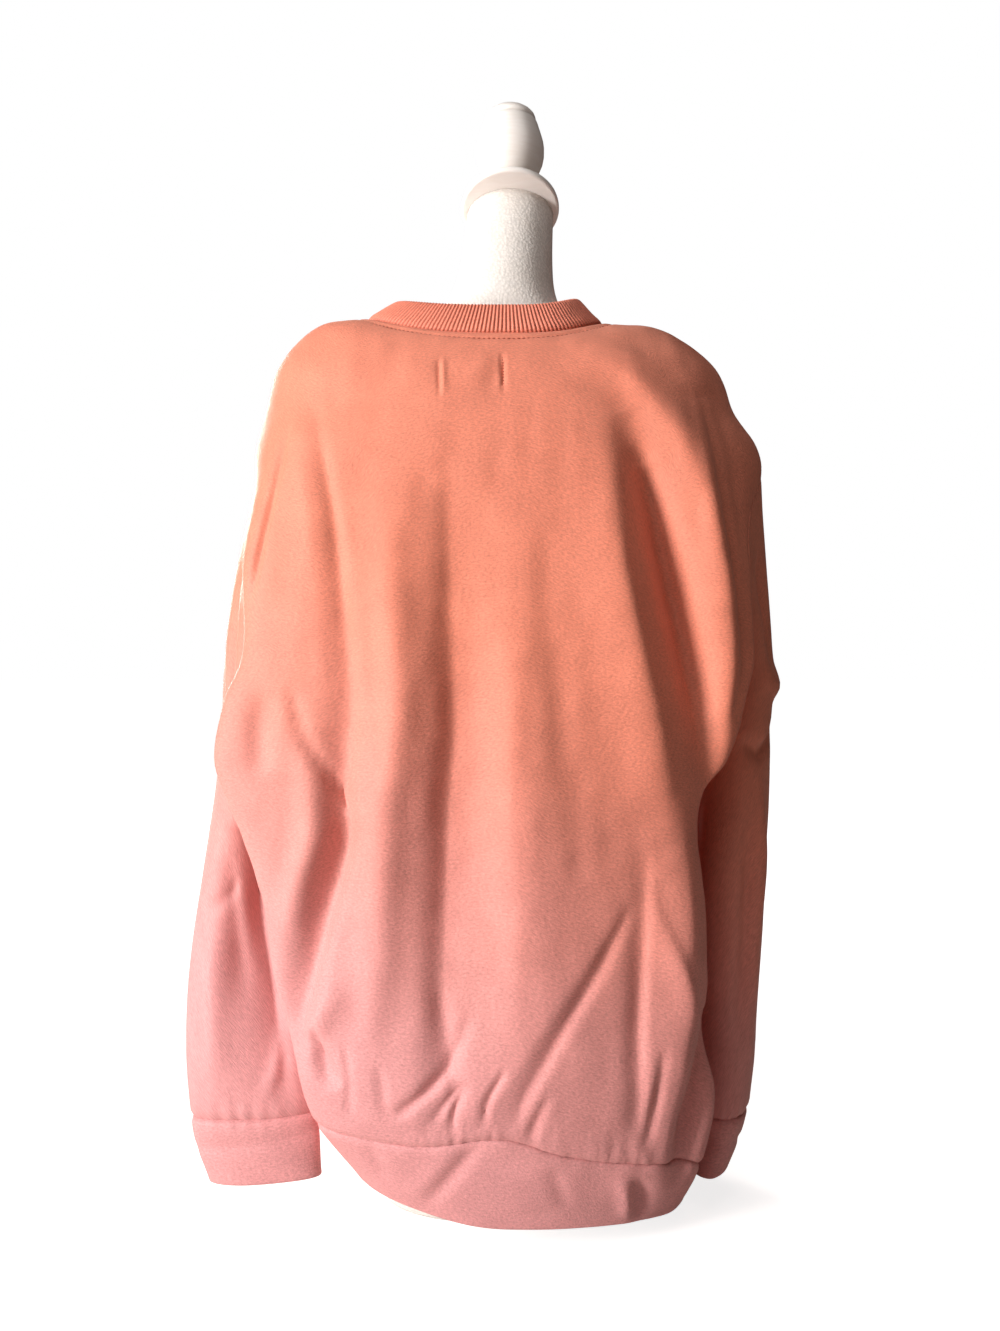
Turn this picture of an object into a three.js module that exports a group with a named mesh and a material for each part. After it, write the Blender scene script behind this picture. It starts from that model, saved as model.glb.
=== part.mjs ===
// A crewneck sweatshirt pulled over a limbless dress form, seen in use from the back.
// Millimetres. +Z is up, the garment's back faces -Y and its front faces +Y, and the wearer's left is -X.
// The origin lies on the flat underside of the form. Every cloth piece is a closed wall with an outer and an
// inner face, and neighbouring pieces stand a hair apart where they are sewn.

import * as THREE from "three";

// Driving dimensions
const fleeceWall = 2.2;
const bandWall = 4.0; // hem band, cuffs and neck rib are folded double
const seamGap = 0.3;
const cuffGap = 0.5;
const ringPower = 0.833; // below 1 squares an ellipse a little, as cloth hangs
const armholeHalfAngle = 0.6; // how far each armhole reaches round the body, in radians
const neckRibs = 186;
const neckRibHeight = 0.9;

// Rows of mesh: how finely each stretch of cloth is divided
const rowsBelowArmhole = 15;
const rowsAtArmhole = 8; // the sleeve has twice as many points round
const rowsAboveArmhole = 7;
const backColumns = 30;
const frontColumns = 22;

// Levels of the body, from the hem edge up to the top of the neck rib, as row numbers of bodySections
const hemEdge = 0;
const hemSeam = 1;
const underarm = 8;
const armholeTop = 10;
const neckSeam = 14;
const ribTop = 15;

function table(columns, rows) {
  return rows.map((row) =>
    Object.fromEntries(columns.map((name, i) => [name, row[i]])),
  );
}

// Each row is one loop round the body: its height at four places, its reach from the origin on four sides,
// and how far its four corners stand out sideways beyond a plain oval.
const bodySections = table(
  ["leftZ", "rightZ", "backZ", "frontZ", "left", "right", "back", "front",
    "backLeft", "backRight", "frontLeft", "frontRight"],
  [
    [58, 14, 21, 27, 132, 152, 112, 104, 12, 10, 10, 10], // hem edge
    [98, 46, 84, 84, 132, 145, 128, 114, 46, 38, 28, 28], // hem seam
    [135, 112, 136, 130, 142, 148, 137, 122, 52, 48, 36, 36], // cloth blouses over the band
    [190, 182, 190, 182, 146, 143, 129, 118, 66, 46, 38, 36],
    [262, 260, 262, 260, 150, 136, 122, 115, 74, 49, 38, 36],
    [318, 318, 318, 318, 154, 133, 120, 113, 90, 47, 38, 36],
    [374, 372, 374, 372, 158, 142, 119, 112, 108, 64, 40, 38],
    [422, 422, 425, 425, 168, 158, 116, 110, 92, 68, 36, 34],
    [455, 458, 475, 475, 182, 182, 113, 107, 66, 56, 26, 26], // underarm
    [538, 540, 548, 545, 197, 200, 110, 103, 52, 32, 18, 18],
    [618, 618, 618, 610, 214, 219, 106, 97, 14, 0, 5, 5], // top of the armhole
    [665, 661, 655, 634, 206, 197, 98, 92, 0, 0, 0, 0],
    [707, 706, 686, 650, 194, 177, 88, 86, 0, 0, 0, 0], // shoulder tips
    [740, 737, 706, 660, 161, 133, 76, 80, 0, 0, 0, 0],
    [747, 743, 720, 669, 120, 84, 65, 74, 0, 0, 0, 0], // neck seam
    [760, 763, 744, 691, 95, 62, 58, 63, 0, 0, 0, 0], // top of the neck rib
  ],
);

// Folds of the body: a bent line from one end over a middle point to the other, in the garment's own x and z,
// how wide the fold spreads to its left and right, and how far it stands out (+) or sinks in (-).
const foldColumns = ["x1", "z1", "x2", "z2", "x3", "z3", "leftWidth", "rightWidth", "rise"];
const backFolds = table(foldColumns, [
  [60, 702, 104, 652, 143, 500, 20, 24, 9], // ridge from the neck over the right shoulder blade
  [84, 640, 106, 530, 141, 350, 28, 20, -16], // deep trough beside it
  [118, 600, 158, 470, 150, 368, 18, 30, 9], // ridge that rolls over towards the underarm
  [8, 600, 12, 460, -8, 300, 34, 40, 8], // broad ridge down the middle
  [-44, 560, -50, 410, -56, 250, 20, 18, -9], // trough left of the middle
  [-98, 560, -113, 410, -121, 190, 18, 22, 10], // ridge down the left
  [-160, 672, -134, 584, -116, 480, 14, 16, -7], // trough from the left shoulder
  [-168, 440, -150, 378, -118, 346, 18, 16, -8], // short crease above the elbow's height
  [-136, 352, -141, 287, -146, 215, 18, 18, -8],
  [-108, 312, -90, 210, -72, 110, 20, 20, -7],
  [88, 284, 44, 214, -8, 132, 18, 24, -10], // slanting wedge above the hem
  [110, 400, 111, 287, 92, 112, 16, 15, 9], // ridge down the right
  [148, 168, 134, 112, 120, 72, 16, 18, -9], // pocket where the blouse rolls under
  [-122, 192, -119, 150, -112, 106, 16, 16, -6],
  [36, 190, 40, 140, 52, 98, 16, 18, 6],
  [-36, 170, -30, 130, -24, 100, 16, 16, 6],
  [-64, 168, -62, 136, -60, 104, 12, 13, -5], // gathers above the hem seam
  [-8, 150, -7, 128, -6, 106, 11, 12, -4],
  [20, 146, 21, 124, 23, 98, 11, 12, -4],
  [74, 152, 76, 120, 80, 84, 13, 13, -5],
  [100, 140, 101, 112, 104, 78, 12, 12, 4],
]);
const frontFolds = table(foldColumns, [
  [92, 640, 104, 520, 128, 360, 22, 16, -12],
  [-96, 640, -110, 520, -134, 360, 16, 22, -11],
  [20, 610, 26, 440, 30, 250, 36, 30, 7],
  [-34, 560, -40, 400, -52, 230, 22, 20, -8],
  [124, 330, 104, 230, 80, 120, 16, 14, -9],
  [-122, 320, -110, 220, -82, 116, 14, 16, -8],
  [64, 300, 52, 200, 44, 110, 16, 16, 6],
  [-14, 250, -12, 180, -6, 104, 16, 14, -6],
  [106, 160, 104, 126, 102, 90, 13, 13, -5], // gathers above the hem seam
  [22, 156, 20, 126, 18, 96, 13, 12, 5],
  [-44, 162, -43, 130, -42, 100, 13, 13, 5],
  [-104, 158, -103, 132, -102, 104, 12, 13, 4],
]);

// The hem seam lifts a little at the middle of the back.
const hemRise = { x: -8, width: 40, height: 12, fadeLevel: 2.5 };

// Sleeve sections from the armhole to the cuff's edge: height of the middle, how much higher its outer side is
// than its middle, the middle's place, and its half sizes sideways and front to back.
const sleeveColumns = ["z", "tilt", "x", "y", "halfWidth", "halfDepth"];
const leftSleeve = table(sleeveColumns, [
  [536, 80, -202, -2, 16, 68],
  [476, 62, -213, 13, 23, 51],
  [415, 38, -215, 14, 32, 50],
  [350, 16, -218, 13, 34, 50],
  [268, 5, -222, -4, 40, 45],
  [180, 0, -220, -24, 50, 33],
  [82, -2, -208, -46, 52, 16], // cuff seam
  [30, -3, -197, -51, 46, 12.5], // cuff edge
]);
const rightSleeve = table(sleeveColumns, [
  [538, 80, 203, 0, 17, 68],
  [478, 60, 207, 11, 20, 53],
  [415, 36, 202, 12, 31, 52],
  [350, 16, 198, 12, 32, 52],
  [262, 5, 193, 8, 33, 50],
  [170, 0, 189, 4, 30, 48],
  [76, 1, 182, -2, 26, 47], // cuff seam
  [28, 6, 172, -3, 18, 46], // cuff edge
]);
const cuffSeam = 6;
const cuffEdge = 7;
const sleeveRows = 18;
const cuffRows = 3;

// Folds of a sleeve: where along it (0 armhole, 1 cuff seam) and which way round (degrees, 0 back, 90 outer,
// 180 front, 270 inner), how long and how wide it is, and its rise.
const sleeveFoldColumns = ["along", "around", "length", "width", "rise"];
const leftSleeveFolds = table(sleeveFoldColumns, [
  [0.3, 60, 0.18, 24, -6],
  [0.52, 20, 0.1, 26, -5],
  [0.7, 50, 0.16, 22, 5],
  [0.86, 5, 0.12, 24, -4],
  [0.45, 150, 0.14, 24, -6],
  [0.72, 190, 0.12, 26, -4],
]);
const rightSleeveFolds = table(sleeveFoldColumns, [
  [0.22, 40, 0.14, 24, -8],
  [0.36, 60, 0.08, 30, 6],
  [0.5, 20, 0.14, 22, -6],
  [0.74, 35, 0.2, 20, 5],
  [0.55, 130, 0.16, 24, -6],
  [0.82, 170, 0.12, 24, -4],
]);

// The dress form: level loops of the torso and neck, each with its height, half sizes and middle.
const formPower = 0.833;
const formSections = table(
  ["z", "halfWidth", "halfDepth", "x", "y"],
  [
    [0, 98, 62, -4, 0],
    [6, 103, 66, -4, 0],
    [60, 110, 74, -4, 0],
    [170, 116, 82, -4, 0],
    [300, 104, 74, -5, 0],
    [430, 124, 82, -6, 0],
    [540, 142, 84, -6, 0],
    [620, 156, 76, -6, 0],
    [665, 169, 62, -6, 0],
    [690, 178, 50, -6, 0],
    [702, 178.5, 43, -6, 0],
    [711, 170, 38, -6, 0],
    [719, 152, 36, -6, 0],
    [727, 130, 32, -6, -2],
    [736, 98, 31, -6, -3],
    [743, 72, 34, -5, -1],
    [755, 55, 40, -4, 3],
    [775, 45, 41, -2, 6],
    [805, 40, 37, 1, 12],
    [849, 38, 30, 4, 19],
  ],
);
const formSides = 28;
const neckTilt = THREE.MathUtils.degToRad(24); // the neck's top slopes down towards the front
const capRadius = 43;
const capThickness = 7;
const capLip = 2; // rounding of the cap's edge
const bossRadius = 20; // level seat for the finial
const bossHeight = 10;
const capBack = 5; // the cap overhangs the oval neck more at the back
const roundSides = 32;

// The finial's turned outline: radius and height above its foot
const finialProfile = table(
  ["radius", "height"],
  [
    [19, 0],
    [19, 5],
    [15.5, 8],
    [20, 13],
    [26.5, 22],
    [29.8, 33],
    [29.8, 40],
    [27.8, 50],
    [25, 59],
    [23.6, 63],
    [21.6, 64],
    [22.4, 66],
    [19.5, 71],
    [12, 75.5],
    [0, 77],
  ],
);

// Smooth value of every column of a table of sections at a fractional row number
function sectionAt(sections, level) {
  const last = sections.length - 1;
  const row = Math.min(Math.floor(level), last - 1);
  const share = level - row;
  const before = sections[Math.max(row - 1, 0)];
  const from = sections[row];
  const to = sections[row + 1];
  const after = sections[Math.min(row + 2, last)];
  const made = {};
  for (const name of Object.keys(from)) {
    const startSlope = (to[name] - before[name]) / 2;
    const endSlope = (after[name] - from[name]) / 2;
    const rise = to[name] - from[name];
    const curve = 3 * rise - 2 * startSlope - endSlope;
    const bend = startSlope + endSlope - 2 * rise;
    made[name] = from[name] + share * (startSlope + share * (curve + share * bend));
  }
  return made;
}

function signedPower(value, power) {
  return Math.sign(value) * Math.abs(value) ** power;
}

function smoothStep(low, high, value) {
  const share = Math.min(1, Math.max(0, (value - low) / (high - low)));
  return share * share * (3 - 2 * share);
}

// Height that the listed folds give the cloth at a place of the panel
const foldSteps = 8;
function foldLine(f) {
  const bendX = 2 * f.x2 - (f.x1 + f.x3) / 2;
  const bendZ = 2 * f.z2 - (f.z1 + f.z3) / 2;
  return Array.from({ length: foldSteps + 1 }, (_, i) => {
    const s = i / foldSteps;
    return {
      x: (1 - s) ** 2 * f.x1 + 2 * s * (1 - s) * bendX + s * s * f.x3,
      z: (1 - s) ** 2 * f.z1 + 2 * s * (1 - s) * bendZ + s * s * f.z3,
    };
  });
}
for (const fold of [...backFolds, ...frontFolds]) fold.line = foldLine(fold);

function foldRise(folds, x, z) {
  let total = 0;
  for (const f of folds) {
    let nearest = Infinity;
    let share = 0;
    let side = 0;
    for (let i = 0; i < foldSteps; i++) {
      const a = f.line[i];
      const b = f.line[i + 1];
      const alongX = b.x - a.x;
      const alongZ = b.z - a.z;
      const way = ((x - a.x) * alongX + (z - a.z) * alongZ) / (alongX ** 2 + alongZ ** 2);
      const t = Math.min(1, Math.max(0, way));
      const nearX = a.x + t * alongX;
      const distance = Math.hypot(x - nearX, z - a.z - t * alongZ);
      if (distance < nearest) {
        nearest = distance;
        share = (i + t) / foldSteps;
        side = x - nearX;
      }
    }
    const width = side < 0 ? f.leftWidth : f.rightWidth;
    const taper = Math.sin(Math.PI * (0.08 + 0.84 * share));
    total += f.rise * taper * Math.exp(-((nearest / width) ** 2));
  }
  return total;
}

// The body's surface before folds. Angle 0 is the wearer's right side, a quarter turn the front.
function plainBodyPoint(angle, level) {
  const s = sectionAt(bodySections, level);
  const c = Math.cos(angle);
  const n = Math.sin(angle);
  const isBack = n < 0;
  const isRight = c > 0;
  const cornerName = (isBack ? "back" : "front") + (isRight ? "Right" : "Left");
  const corner = Math.sign(c) * s[cornerName] * Math.abs(Math.sin(2 * angle)) ** 3;
  const x = signedPower(c, ringPower) * (isRight ? s.right : s.left) + corner;
  const y = signedPower(n, ringPower) * (isBack ? s.back : s.front);
  const sideShare = Math.abs(c) ** (1.5 + 0.06 * level);
  const sideZ = isRight ? s.rightZ : s.leftZ;
  const faceZ = isBack ? s.backZ : s.frontZ;
  let z = THREE.MathUtils.lerp(faceZ, sideZ, sideShare);
  if (isBack && level > hemEdge) {
    const fade = smoothStep(hemEdge, hemSeam, level) * (1 - smoothStep(hemSeam, hemRise.fadeLevel, level));
    z += fade * hemRise.height * Math.exp(-(((x - hemRise.x) / hemRise.width) ** 2));
  }
  return new THREE.Vector3(x, y, z);
}

// Outward normal of a surface given as a function of two numbers, by small steps
function normalOf(surface, a, b) {
  const step = 1e-3;
  const alongA = surface(a + step, b).sub(surface(a - step, b));
  const alongB = surface(a, b + step).sub(surface(a, b - step));
  return alongA.cross(alongB).normalize();
}

function bodyPoint(angle, level) {
  const p = plainBodyPoint(angle, level);
  const facing = Math.sin(angle);
  const folds = facing < 0 ? backFolds : frontFolds;
  const fade = smoothStep(0.12, 0.5, Math.abs(facing)) *
    smoothStep(hemEdge, hemSeam + 0.5, level) *
    (1 - smoothStep(neckSeam - 1.2, neckSeam - 0.2, level));
  if (fade > 0) {
    const rise = fade * foldRise(folds, p.x, p.z);
    p.addScaledVector(normalOf(plainBodyPoint, angle, level), rise);
  }
  return p;
}

// Normal that neighbouring pieces share along their seams
function seamNormal(angle, level) {
  const safe = Math.min(Math.max(level, hemEdge + 0.01), ribTop - 0.01);
  return normalOf(plainBodyPoint, angle, safe);
}

// Inner face of a panel: each point moved in along the mean direction of the mesh about it,
// and by the way in that both pieces share at an edge
function innerFace(outer, waysIn) {
  const last = outer.length - 1;
  return outer.map((row, r) => row.map((p, c) => {
    const isEdge = r === 0 || r === last || c === 0 || c === row.length - 1;
    if (isEdge) return p.clone().add(waysIn[r][c]);
    const across = row[c + 1].clone().sub(row[c - 1]);
    const normal = across.cross(outer[r + 1][c].clone().sub(outer[r - 1][c])).normalize();
    return p.clone().addScaledVector(normal, -fleeceWall);
  }));
}

// A closed wall from an outer grid and an inner grid of points. Rows run along the first index.
// A wall that closes on itself joins its last column to its first.
function wallGeometry(outer, inner, closesRound) {
  const rows = outer.length;
  const columns = outer[0].length;
  const positions = [];
  for (const grid of [outer, inner]) {
    for (const row of grid) {
      for (const p of row) positions.push(p.x, p.y, p.z);
    }
  }
  const outerAt = (r, c) => r * columns + (c % columns);
  const innerAt = (r, c) => rows * columns + outerAt(r, c);
  const faces = [];
  const quad = (a, b, c, d) => faces.push(a, b, c, a, c, d);
  const steps = closesRound ? columns : columns - 1;
  for (let r = 0; r < rows - 1; r++) {
    for (let c = 0; c < steps; c++) {
      quad(outerAt(r, c), outerAt(r, c + 1), outerAt(r + 1, c + 1), outerAt(r + 1, c));
      quad(innerAt(r, c), innerAt(r + 1, c), innerAt(r + 1, c + 1), innerAt(r, c + 1));
    }
    if (!closesRound) {
      const end = columns - 1;
      quad(outerAt(r, 0), outerAt(r + 1, 0), innerAt(r + 1, 0), innerAt(r, 0));
      quad(outerAt(r + 1, end), outerAt(r, end), innerAt(r, end), innerAt(r + 1, end));
    }
  }
  for (let c = 0; c < steps; c++) {
    quad(outerAt(0, c), innerAt(0, c), innerAt(0, c + 1), outerAt(0, c + 1));
    const top = rows - 1;
    quad(outerAt(top, c), outerAt(top, c + 1), innerAt(top, c + 1), innerAt(top, c));
  }
  const geometry = new THREE.BufferGeometry();
  geometry.setAttribute("position", new THREE.Float32BufferAttribute(positions, 3));
  geometry.setIndex(faces);
  return geometry;
}

// Half the angle of the armhole at a level: nothing at the underarm and at its top
function armholeWidth(level) {
  const share = (level - underarm) / (armholeTop - underarm);
  if (share <= 0 || share >= 1) return 0;
  return armholeHalfAngle * Math.sin(Math.PI * share) ** 0.9;
}

const armholeLevels = Array.from({ length: rowsAtArmhole + 1 }, (_, i) => {
  const even = i / rowsAtArmhole;
  const crowded = (1 - Math.cos(Math.PI * even)) / 2; // closer rows where the armhole turns
  return underarm + ((even + crowded) / 2) * (armholeTop - underarm);
});

// Loop round one armhole, from the underarm over the back to the top and down the front
function armholeLoop(isRight) {
  const middle = isRight ? 2 * Math.PI : Math.PI;
  const towardsBack = isRight ? -1 : 1;
  const loop = [];
  const add = (level, side) => {
    const angle = middle + side * towardsBack * armholeWidth(level);
    loop.push({ point: bodyPoint(angle, level), normal: seamNormal(angle, level) });
  };
  for (let i = 0; i < rowsAtArmhole; i++) add(armholeLevels[i], 1);
  for (let i = rowsAtArmhole; i > 0; i--) add(armholeLevels[i], -1);
  return loop;
}

// Rise of a sleeve's folds at a place along and around it
function sleeveFoldRise(folds, along, around) {
  let total = 0;
  for (const f of folds) {
    const turn = Math.abs(around - f.around);
    const apart = Math.min(turn, 360 - turn) / f.width;
    const away = (along - f.along) / f.length;
    total += f.rise * Math.exp(-away * away - apart * apart);
  }
  return total;
}

// Point of a sleeve's outer face: step i round the armhole's loop, at a fractional section number
function sleevePoint(isRight, loop, i, level) {
  const outward = isRight ? 1 : -1;
  const around = (2 * Math.PI * i) / loop.length - Math.PI / 2;
  const across = Math.sin(around);
  const plain = (row) => {
    const s = sectionAt(isRight ? rightSleeve : leftSleeve, row);
    return new THREE.Vector3(
      s.x + outward * s.halfWidth * across,
      s.y - s.halfDepth * Math.cos(around),
      s.z + s.tilt * across,
    );
  };
  const along = level / cuffSeam;
  const degrees = ((THREE.MathUtils.radToDeg(around) % 360) + 360) % 360;
  const fade = smoothStep(0, 0.12, along) * (1 - smoothStep(0.92, 1.05, along));
  const rise = fade * sleeveFoldRise(isRight ? rightSleeveFolds : leftSleeveFolds, along, degrees);
  const away = new THREE.Vector3(outward * across, -Math.cos(around), 0);
  const joining = loop[i].point.clone().sub(plain(0));
  return plain(level).addScaledVector(away, rise)
    .addScaledVector(joining, 1 - smoothStep(0, 1.4, level));
}

// Outward direction of a sleeve's face, from a step round it and a step down it
function sleeveNormal(isRight, round, down) {
  const normal = isRight ? down.clone().cross(round) : round.clone().cross(down);
  return normal.normalize();
}

// How a sleeve and the panels meet round an armhole: for each step, the way in from the outer face
// to the inner face, which both share, and the way that the sleeve stands off.
function armholeSeam(isRight) {
  const loop = armholeLoop(isRight);
  const count = loop.length;
  const low = loop.map((_, i) => sleevePoint(isRight, loop, i, 0.35));
  const next = (i) => (i + 1) % count;
  const before = (i) => (i + count - 1) % count;
  const tangents = loop.map((_, i) => {
    return loop[next(i)].point.clone().sub(loop[before(i)].point).normalize();
  });
  const waysIn = loop.map((at, i) => {
    const down = low[i].clone().sub(at.point);
    const round = low[next(i)].clone().sub(low[before(i)]).normalize().add(tangents[i]);
    const both = sleeveNormal(isRight, round, down).add(at.normal);
    const reach = fleeceWall / Math.max(both.length() / 2, 0.6);
    return both.normalize().multiplyScalar(-reach);
  });
  return loop.map((at, i) => {
    const inward = waysIn[i].clone().multiplyScalar(2)
      .add(waysIn[before(i)]).add(waysIn[next(i)]).divideScalar(4);
    const off = inward.clone().cross(tangents[i]).normalize();
    if (off.dot(low[i].clone().sub(at.point)) < 0) off.negate();
    const sharpness = inward.length() / fleeceWall; // pieces that meet at a sharp fold stand further off
    return { point: at.point, inward, off: off.multiplyScalar(seamGap * sharpness ** 2) };
  });
}
const seams = { left: armholeSeam(false), right: armholeSeam(true) };

function wayInAt(isBack, isRight, armholeRow) {
  const loop = isRight ? seams.right : seams.left;
  const i = isBack ? armholeRow : (loop.length - armholeRow) % loop.length;
  return loop[i].inward;
}

// Sleeve or cuff between two of its sections
function sleeveWall(isRight, fromSection, toSection, rows, wall) {
  const seam = isRight ? seams.right : seams.left;
  const count = seam.length;
  const startsAtArmhole = fromSection === 0;
  const outer = [];
  for (let r = 0; r <= rows; r++) {
    const level = fromSection + ((toSection - fromSection) * r) / rows;
    outer.push(seam.map((_, i) => sleevePoint(isRight, seam, i, level)));
  }
  if (startsAtArmhole) {
    outer[0].forEach((p, i) => p.add(seam[i].off));
  } else {
    outer[0].forEach((p, i) => {
      p.addScaledVector(outer[1][i].clone().sub(p).normalize(), cuffGap);
    });
  }
  const inner = outer.map((row, r) => row.map((p, i) => {
    if (startsAtArmhole && r === 0) return p.clone().add(seam[i].inward);
    const round = row[(i + 1) % count].clone().sub(row[(i + count - 1) % count]);
    const level = fromSection + ((toSection - fromSection) * r) / rows;
    const isEnd = r === 0 || r === rows;
    const low = isEnd ? Math.max(level - 0.02, 0) : level;
    const high = isEnd ? Math.min(level + 0.02, cuffEdge) : level;
    const down = isEnd
      ? sleevePoint(isRight, seam, i, high).sub(sleevePoint(isRight, seam, i, low))
      : outer[r + 1][i].clone().sub(outer[r - 1][i]);
    return p.clone().addScaledVector(sleeveNormal(isRight, round, down), -wall);
  }));
  // The loops of the two sides run opposite ways round, so one side's columns are turned about.
  if (isRight) {
    for (const row of [...outer, ...inner]) row.reverse();
  }
  return wallGeometry(outer, inner, true);
}

// Levels of a panel's rows, from the hem seam to the neck seam
function panelLevels() {
  const levels = [];
  for (let i = 0; i < rowsBelowArmhole; i++) {
    levels.push(hemSeam + (i / rowsBelowArmhole) * (underarm - hemSeam));
  }
  levels.push(...armholeLevels);
  for (let i = 1; i <= rowsAboveArmhole; i++) {
    levels.push(armholeTop + (i / rowsAboveArmhole) * (neckSeam - armholeTop));
  }
  return levels;
}

// Front or back panel: each row runs from one edge to the other, and its edges are the side seam,
// the armhole and the shoulder seam in turn.
const seamAngle = seamGap / 2 / 150; // half a seam's gap, at a typical distance from the middle
function panelWall(isBack) {
  const columns = isBack ? backColumns : frontColumns;
  const from = isBack ? Math.PI : 0;
  const outer = [];
  const waysIn = [];
  panelLevels().forEach((level, r) => {
    const edge = Math.max(armholeWidth(level), seamAngle);
    const angles = Array.from({ length: columns + 1 }, (_, i) => {
      const share = i / columns;
      return from + Math.PI * share + edge * ((1 - share) ** 4 - share ** 4);
    });
    outer.push(angles.map((angle) => bodyPoint(angle, level)));
    const ways = angles.map((angle) => seamNormal(angle, level).multiplyScalar(-fleeceWall));
    const armholeRow = r - rowsBelowArmhole;
    if (armholeRow >= 0 && armholeRow <= rowsAtArmhole) {
      ways[0] = wayInAt(isBack, !isBack, armholeRow);
      ways[columns] = wayInAt(isBack, isBack, armholeRow);
    }
    waysIn.push(ways);
  });
  return wallGeometry(outer, innerFace(outer, waysIn), false);
}

// Hem band: a folded strip that draws the body in, divided round like the panels above it
const hemRows = 3;
function hemBand() {
  const outer = [];
  const inner = [];
  for (let r = 0; r <= hemRows; r++) {
    const gapLevel = seamGap / 26;
    const level = hemEdge + ((hemSeam - gapLevel - hemEdge) * r) / hemRows;
    const outerRow = [];
    const innerRow = [];
    for (let i = 0; i < frontColumns + backColumns; i++) {
      const isBack = i >= frontColumns;
      const share = isBack ? 1 + (i - frontColumns) / backColumns : i / frontColumns;
      const angle = Math.PI * share;
      const p = bodyPoint(angle, level);
      outerRow.push(p);
      innerRow.push(p.clone().addScaledVector(seamNormal(angle, level), -bandWall));
    }
    outer.push(outerRow);
    inner.push(innerRow);
  }
  return wallGeometry(outer, inner, true);
}

// Neck rib: raised ribs on the outside, plain inside
const ribRows = 1;

// The panels' top edge is a chain of short straight stretches, and the rib's foot follows it.
function alongPanelEdge(angle, valueAt) {
  const isBack = angle >= Math.PI;
  const columns = isBack ? backColumns : frontColumns;
  const from = isBack ? Math.PI : 0;
  const place = ((angle - from) / Math.PI) * columns;
  const column = Math.floor(place + 1e-9);
  const atColumn = (i) => valueAt(from + (Math.PI * i) / columns);
  return atColumn(column).lerp(atColumn(column + 1), place - column);
}

function neckRib() {
  const columns = neckRibs * 2;
  const outer = [];
  const inner = [];
  for (let r = 0; r <= ribRows; r++) {
    const gapLevel = seamGap / 24;
    const level = neckSeam + gapLevel + ((ribTop - neckSeam - gapLevel) * r) / ribRows;
    const outerRow = [];
    const innerRow = [];
    for (let i = 0; i < columns; i++) {
      const angle = (2 * Math.PI * i) / columns;
      const p = r === 0
        ? alongPanelEdge(angle, (a) => bodyPoint(a, level))
        : bodyPoint(angle, level);
      const normal = r === 0
        ? alongPanelEdge(angle, (a) => seamNormal(a, level))
        : seamNormal(angle, level);
      const rise = i % 2 === 0 ? neckRibHeight : 0;
      outerRow.push(p.clone().addScaledVector(normal, rise));
      innerRow.push(p.clone().addScaledVector(normal, -bandWall));
    }
    outer.push(outerRow);
    inner.push(innerRow);
  }
  return wallGeometry(outer, inner, true);
}

// A closed solid lofted through loops of points, with a fan over each end
function loftGeometry(loops) {
  const count = loops[0].length;
  const positions = [];
  for (const loop of loops) {
    for (const p of loop) positions.push(p.x, p.y, p.z);
  }
  const faces = [];
  for (let r = 0; r < loops.length - 1; r++) {
    for (let i = 0; i < count; i++) {
      const next = (i + 1) % count;
      const a = r * count + i;
      const b = r * count + next;
      faces.push(a, b, b + count, a, b + count, a + count);
    }
  }
  const middleOf = (loop) => {
    const middle = new THREE.Vector3();
    for (const p of loop) middle.add(p);
    return middle.divideScalar(count);
  };
  const bottom = middleOf(loops[0]);
  const top = middleOf(loops[loops.length - 1]);
  positions.push(bottom.x, bottom.y, bottom.z, top.x, top.y, top.z);
  const bottomIndex = loops.length * count;
  const topIndex = bottomIndex + 1;
  const lastRow = (loops.length - 1) * count;
  for (let i = 0; i < count; i++) {
    const next = (i + 1) % count;
    faces.push(bottomIndex, next, i, topIndex, lastRow + i, lastRow + next);
  }
  const geometry = new THREE.BufferGeometry();
  geometry.setAttribute("position", new THREE.Float32BufferAttribute(positions, 3));
  geometry.setIndex(faces);
  return geometry;
}

function tiltedLoop(sides, middle, halfWidth, halfDepth, tilt, power) {
  return Array.from({ length: sides }, (_, i) => {
    const angle = (2 * Math.PI * i) / sides;
    const x = halfWidth * signedPower(Math.cos(angle), power);
    const y = halfDepth * signedPower(Math.sin(angle), power);
    return new THREE.Vector3(
      middle.x + x,
      middle.y + y * Math.cos(tilt),
      middle.z - y * Math.sin(tilt),
    );
  });
}

const neckTop = formSections[formSections.length - 1];
const capNormal = new THREE.Vector3(0, Math.sin(neckTilt), Math.cos(neckTilt));
const capSeat = new THREE.Vector3(neckTop.x, neckTop.y, neckTop.z)
  .addScaledVector(capNormal, seamGap)
  .add(new THREE.Vector3(0, -capBack * Math.cos(neckTilt), capBack * Math.sin(neckTilt)));

function dressForm() {
  const loops = formSections.map((s, i) => {
    const isTop = i === formSections.length - 1;
    const fromNeck = formSections.length - 2 - i;
    const tilt = isTop ? neckTilt : fromNeck === 0 ? neckTilt / 3 : 0;
    const power = THREE.MathUtils.lerp(formPower, 1, smoothStep(740, 780, s.z));
    const middle = new THREE.Vector3(s.x, s.y, s.z);
    return tiltedLoop(formSides, middle, s.halfWidth, s.halfDepth, tilt, power);
  });
  return loftGeometry(loops);
}

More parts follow.
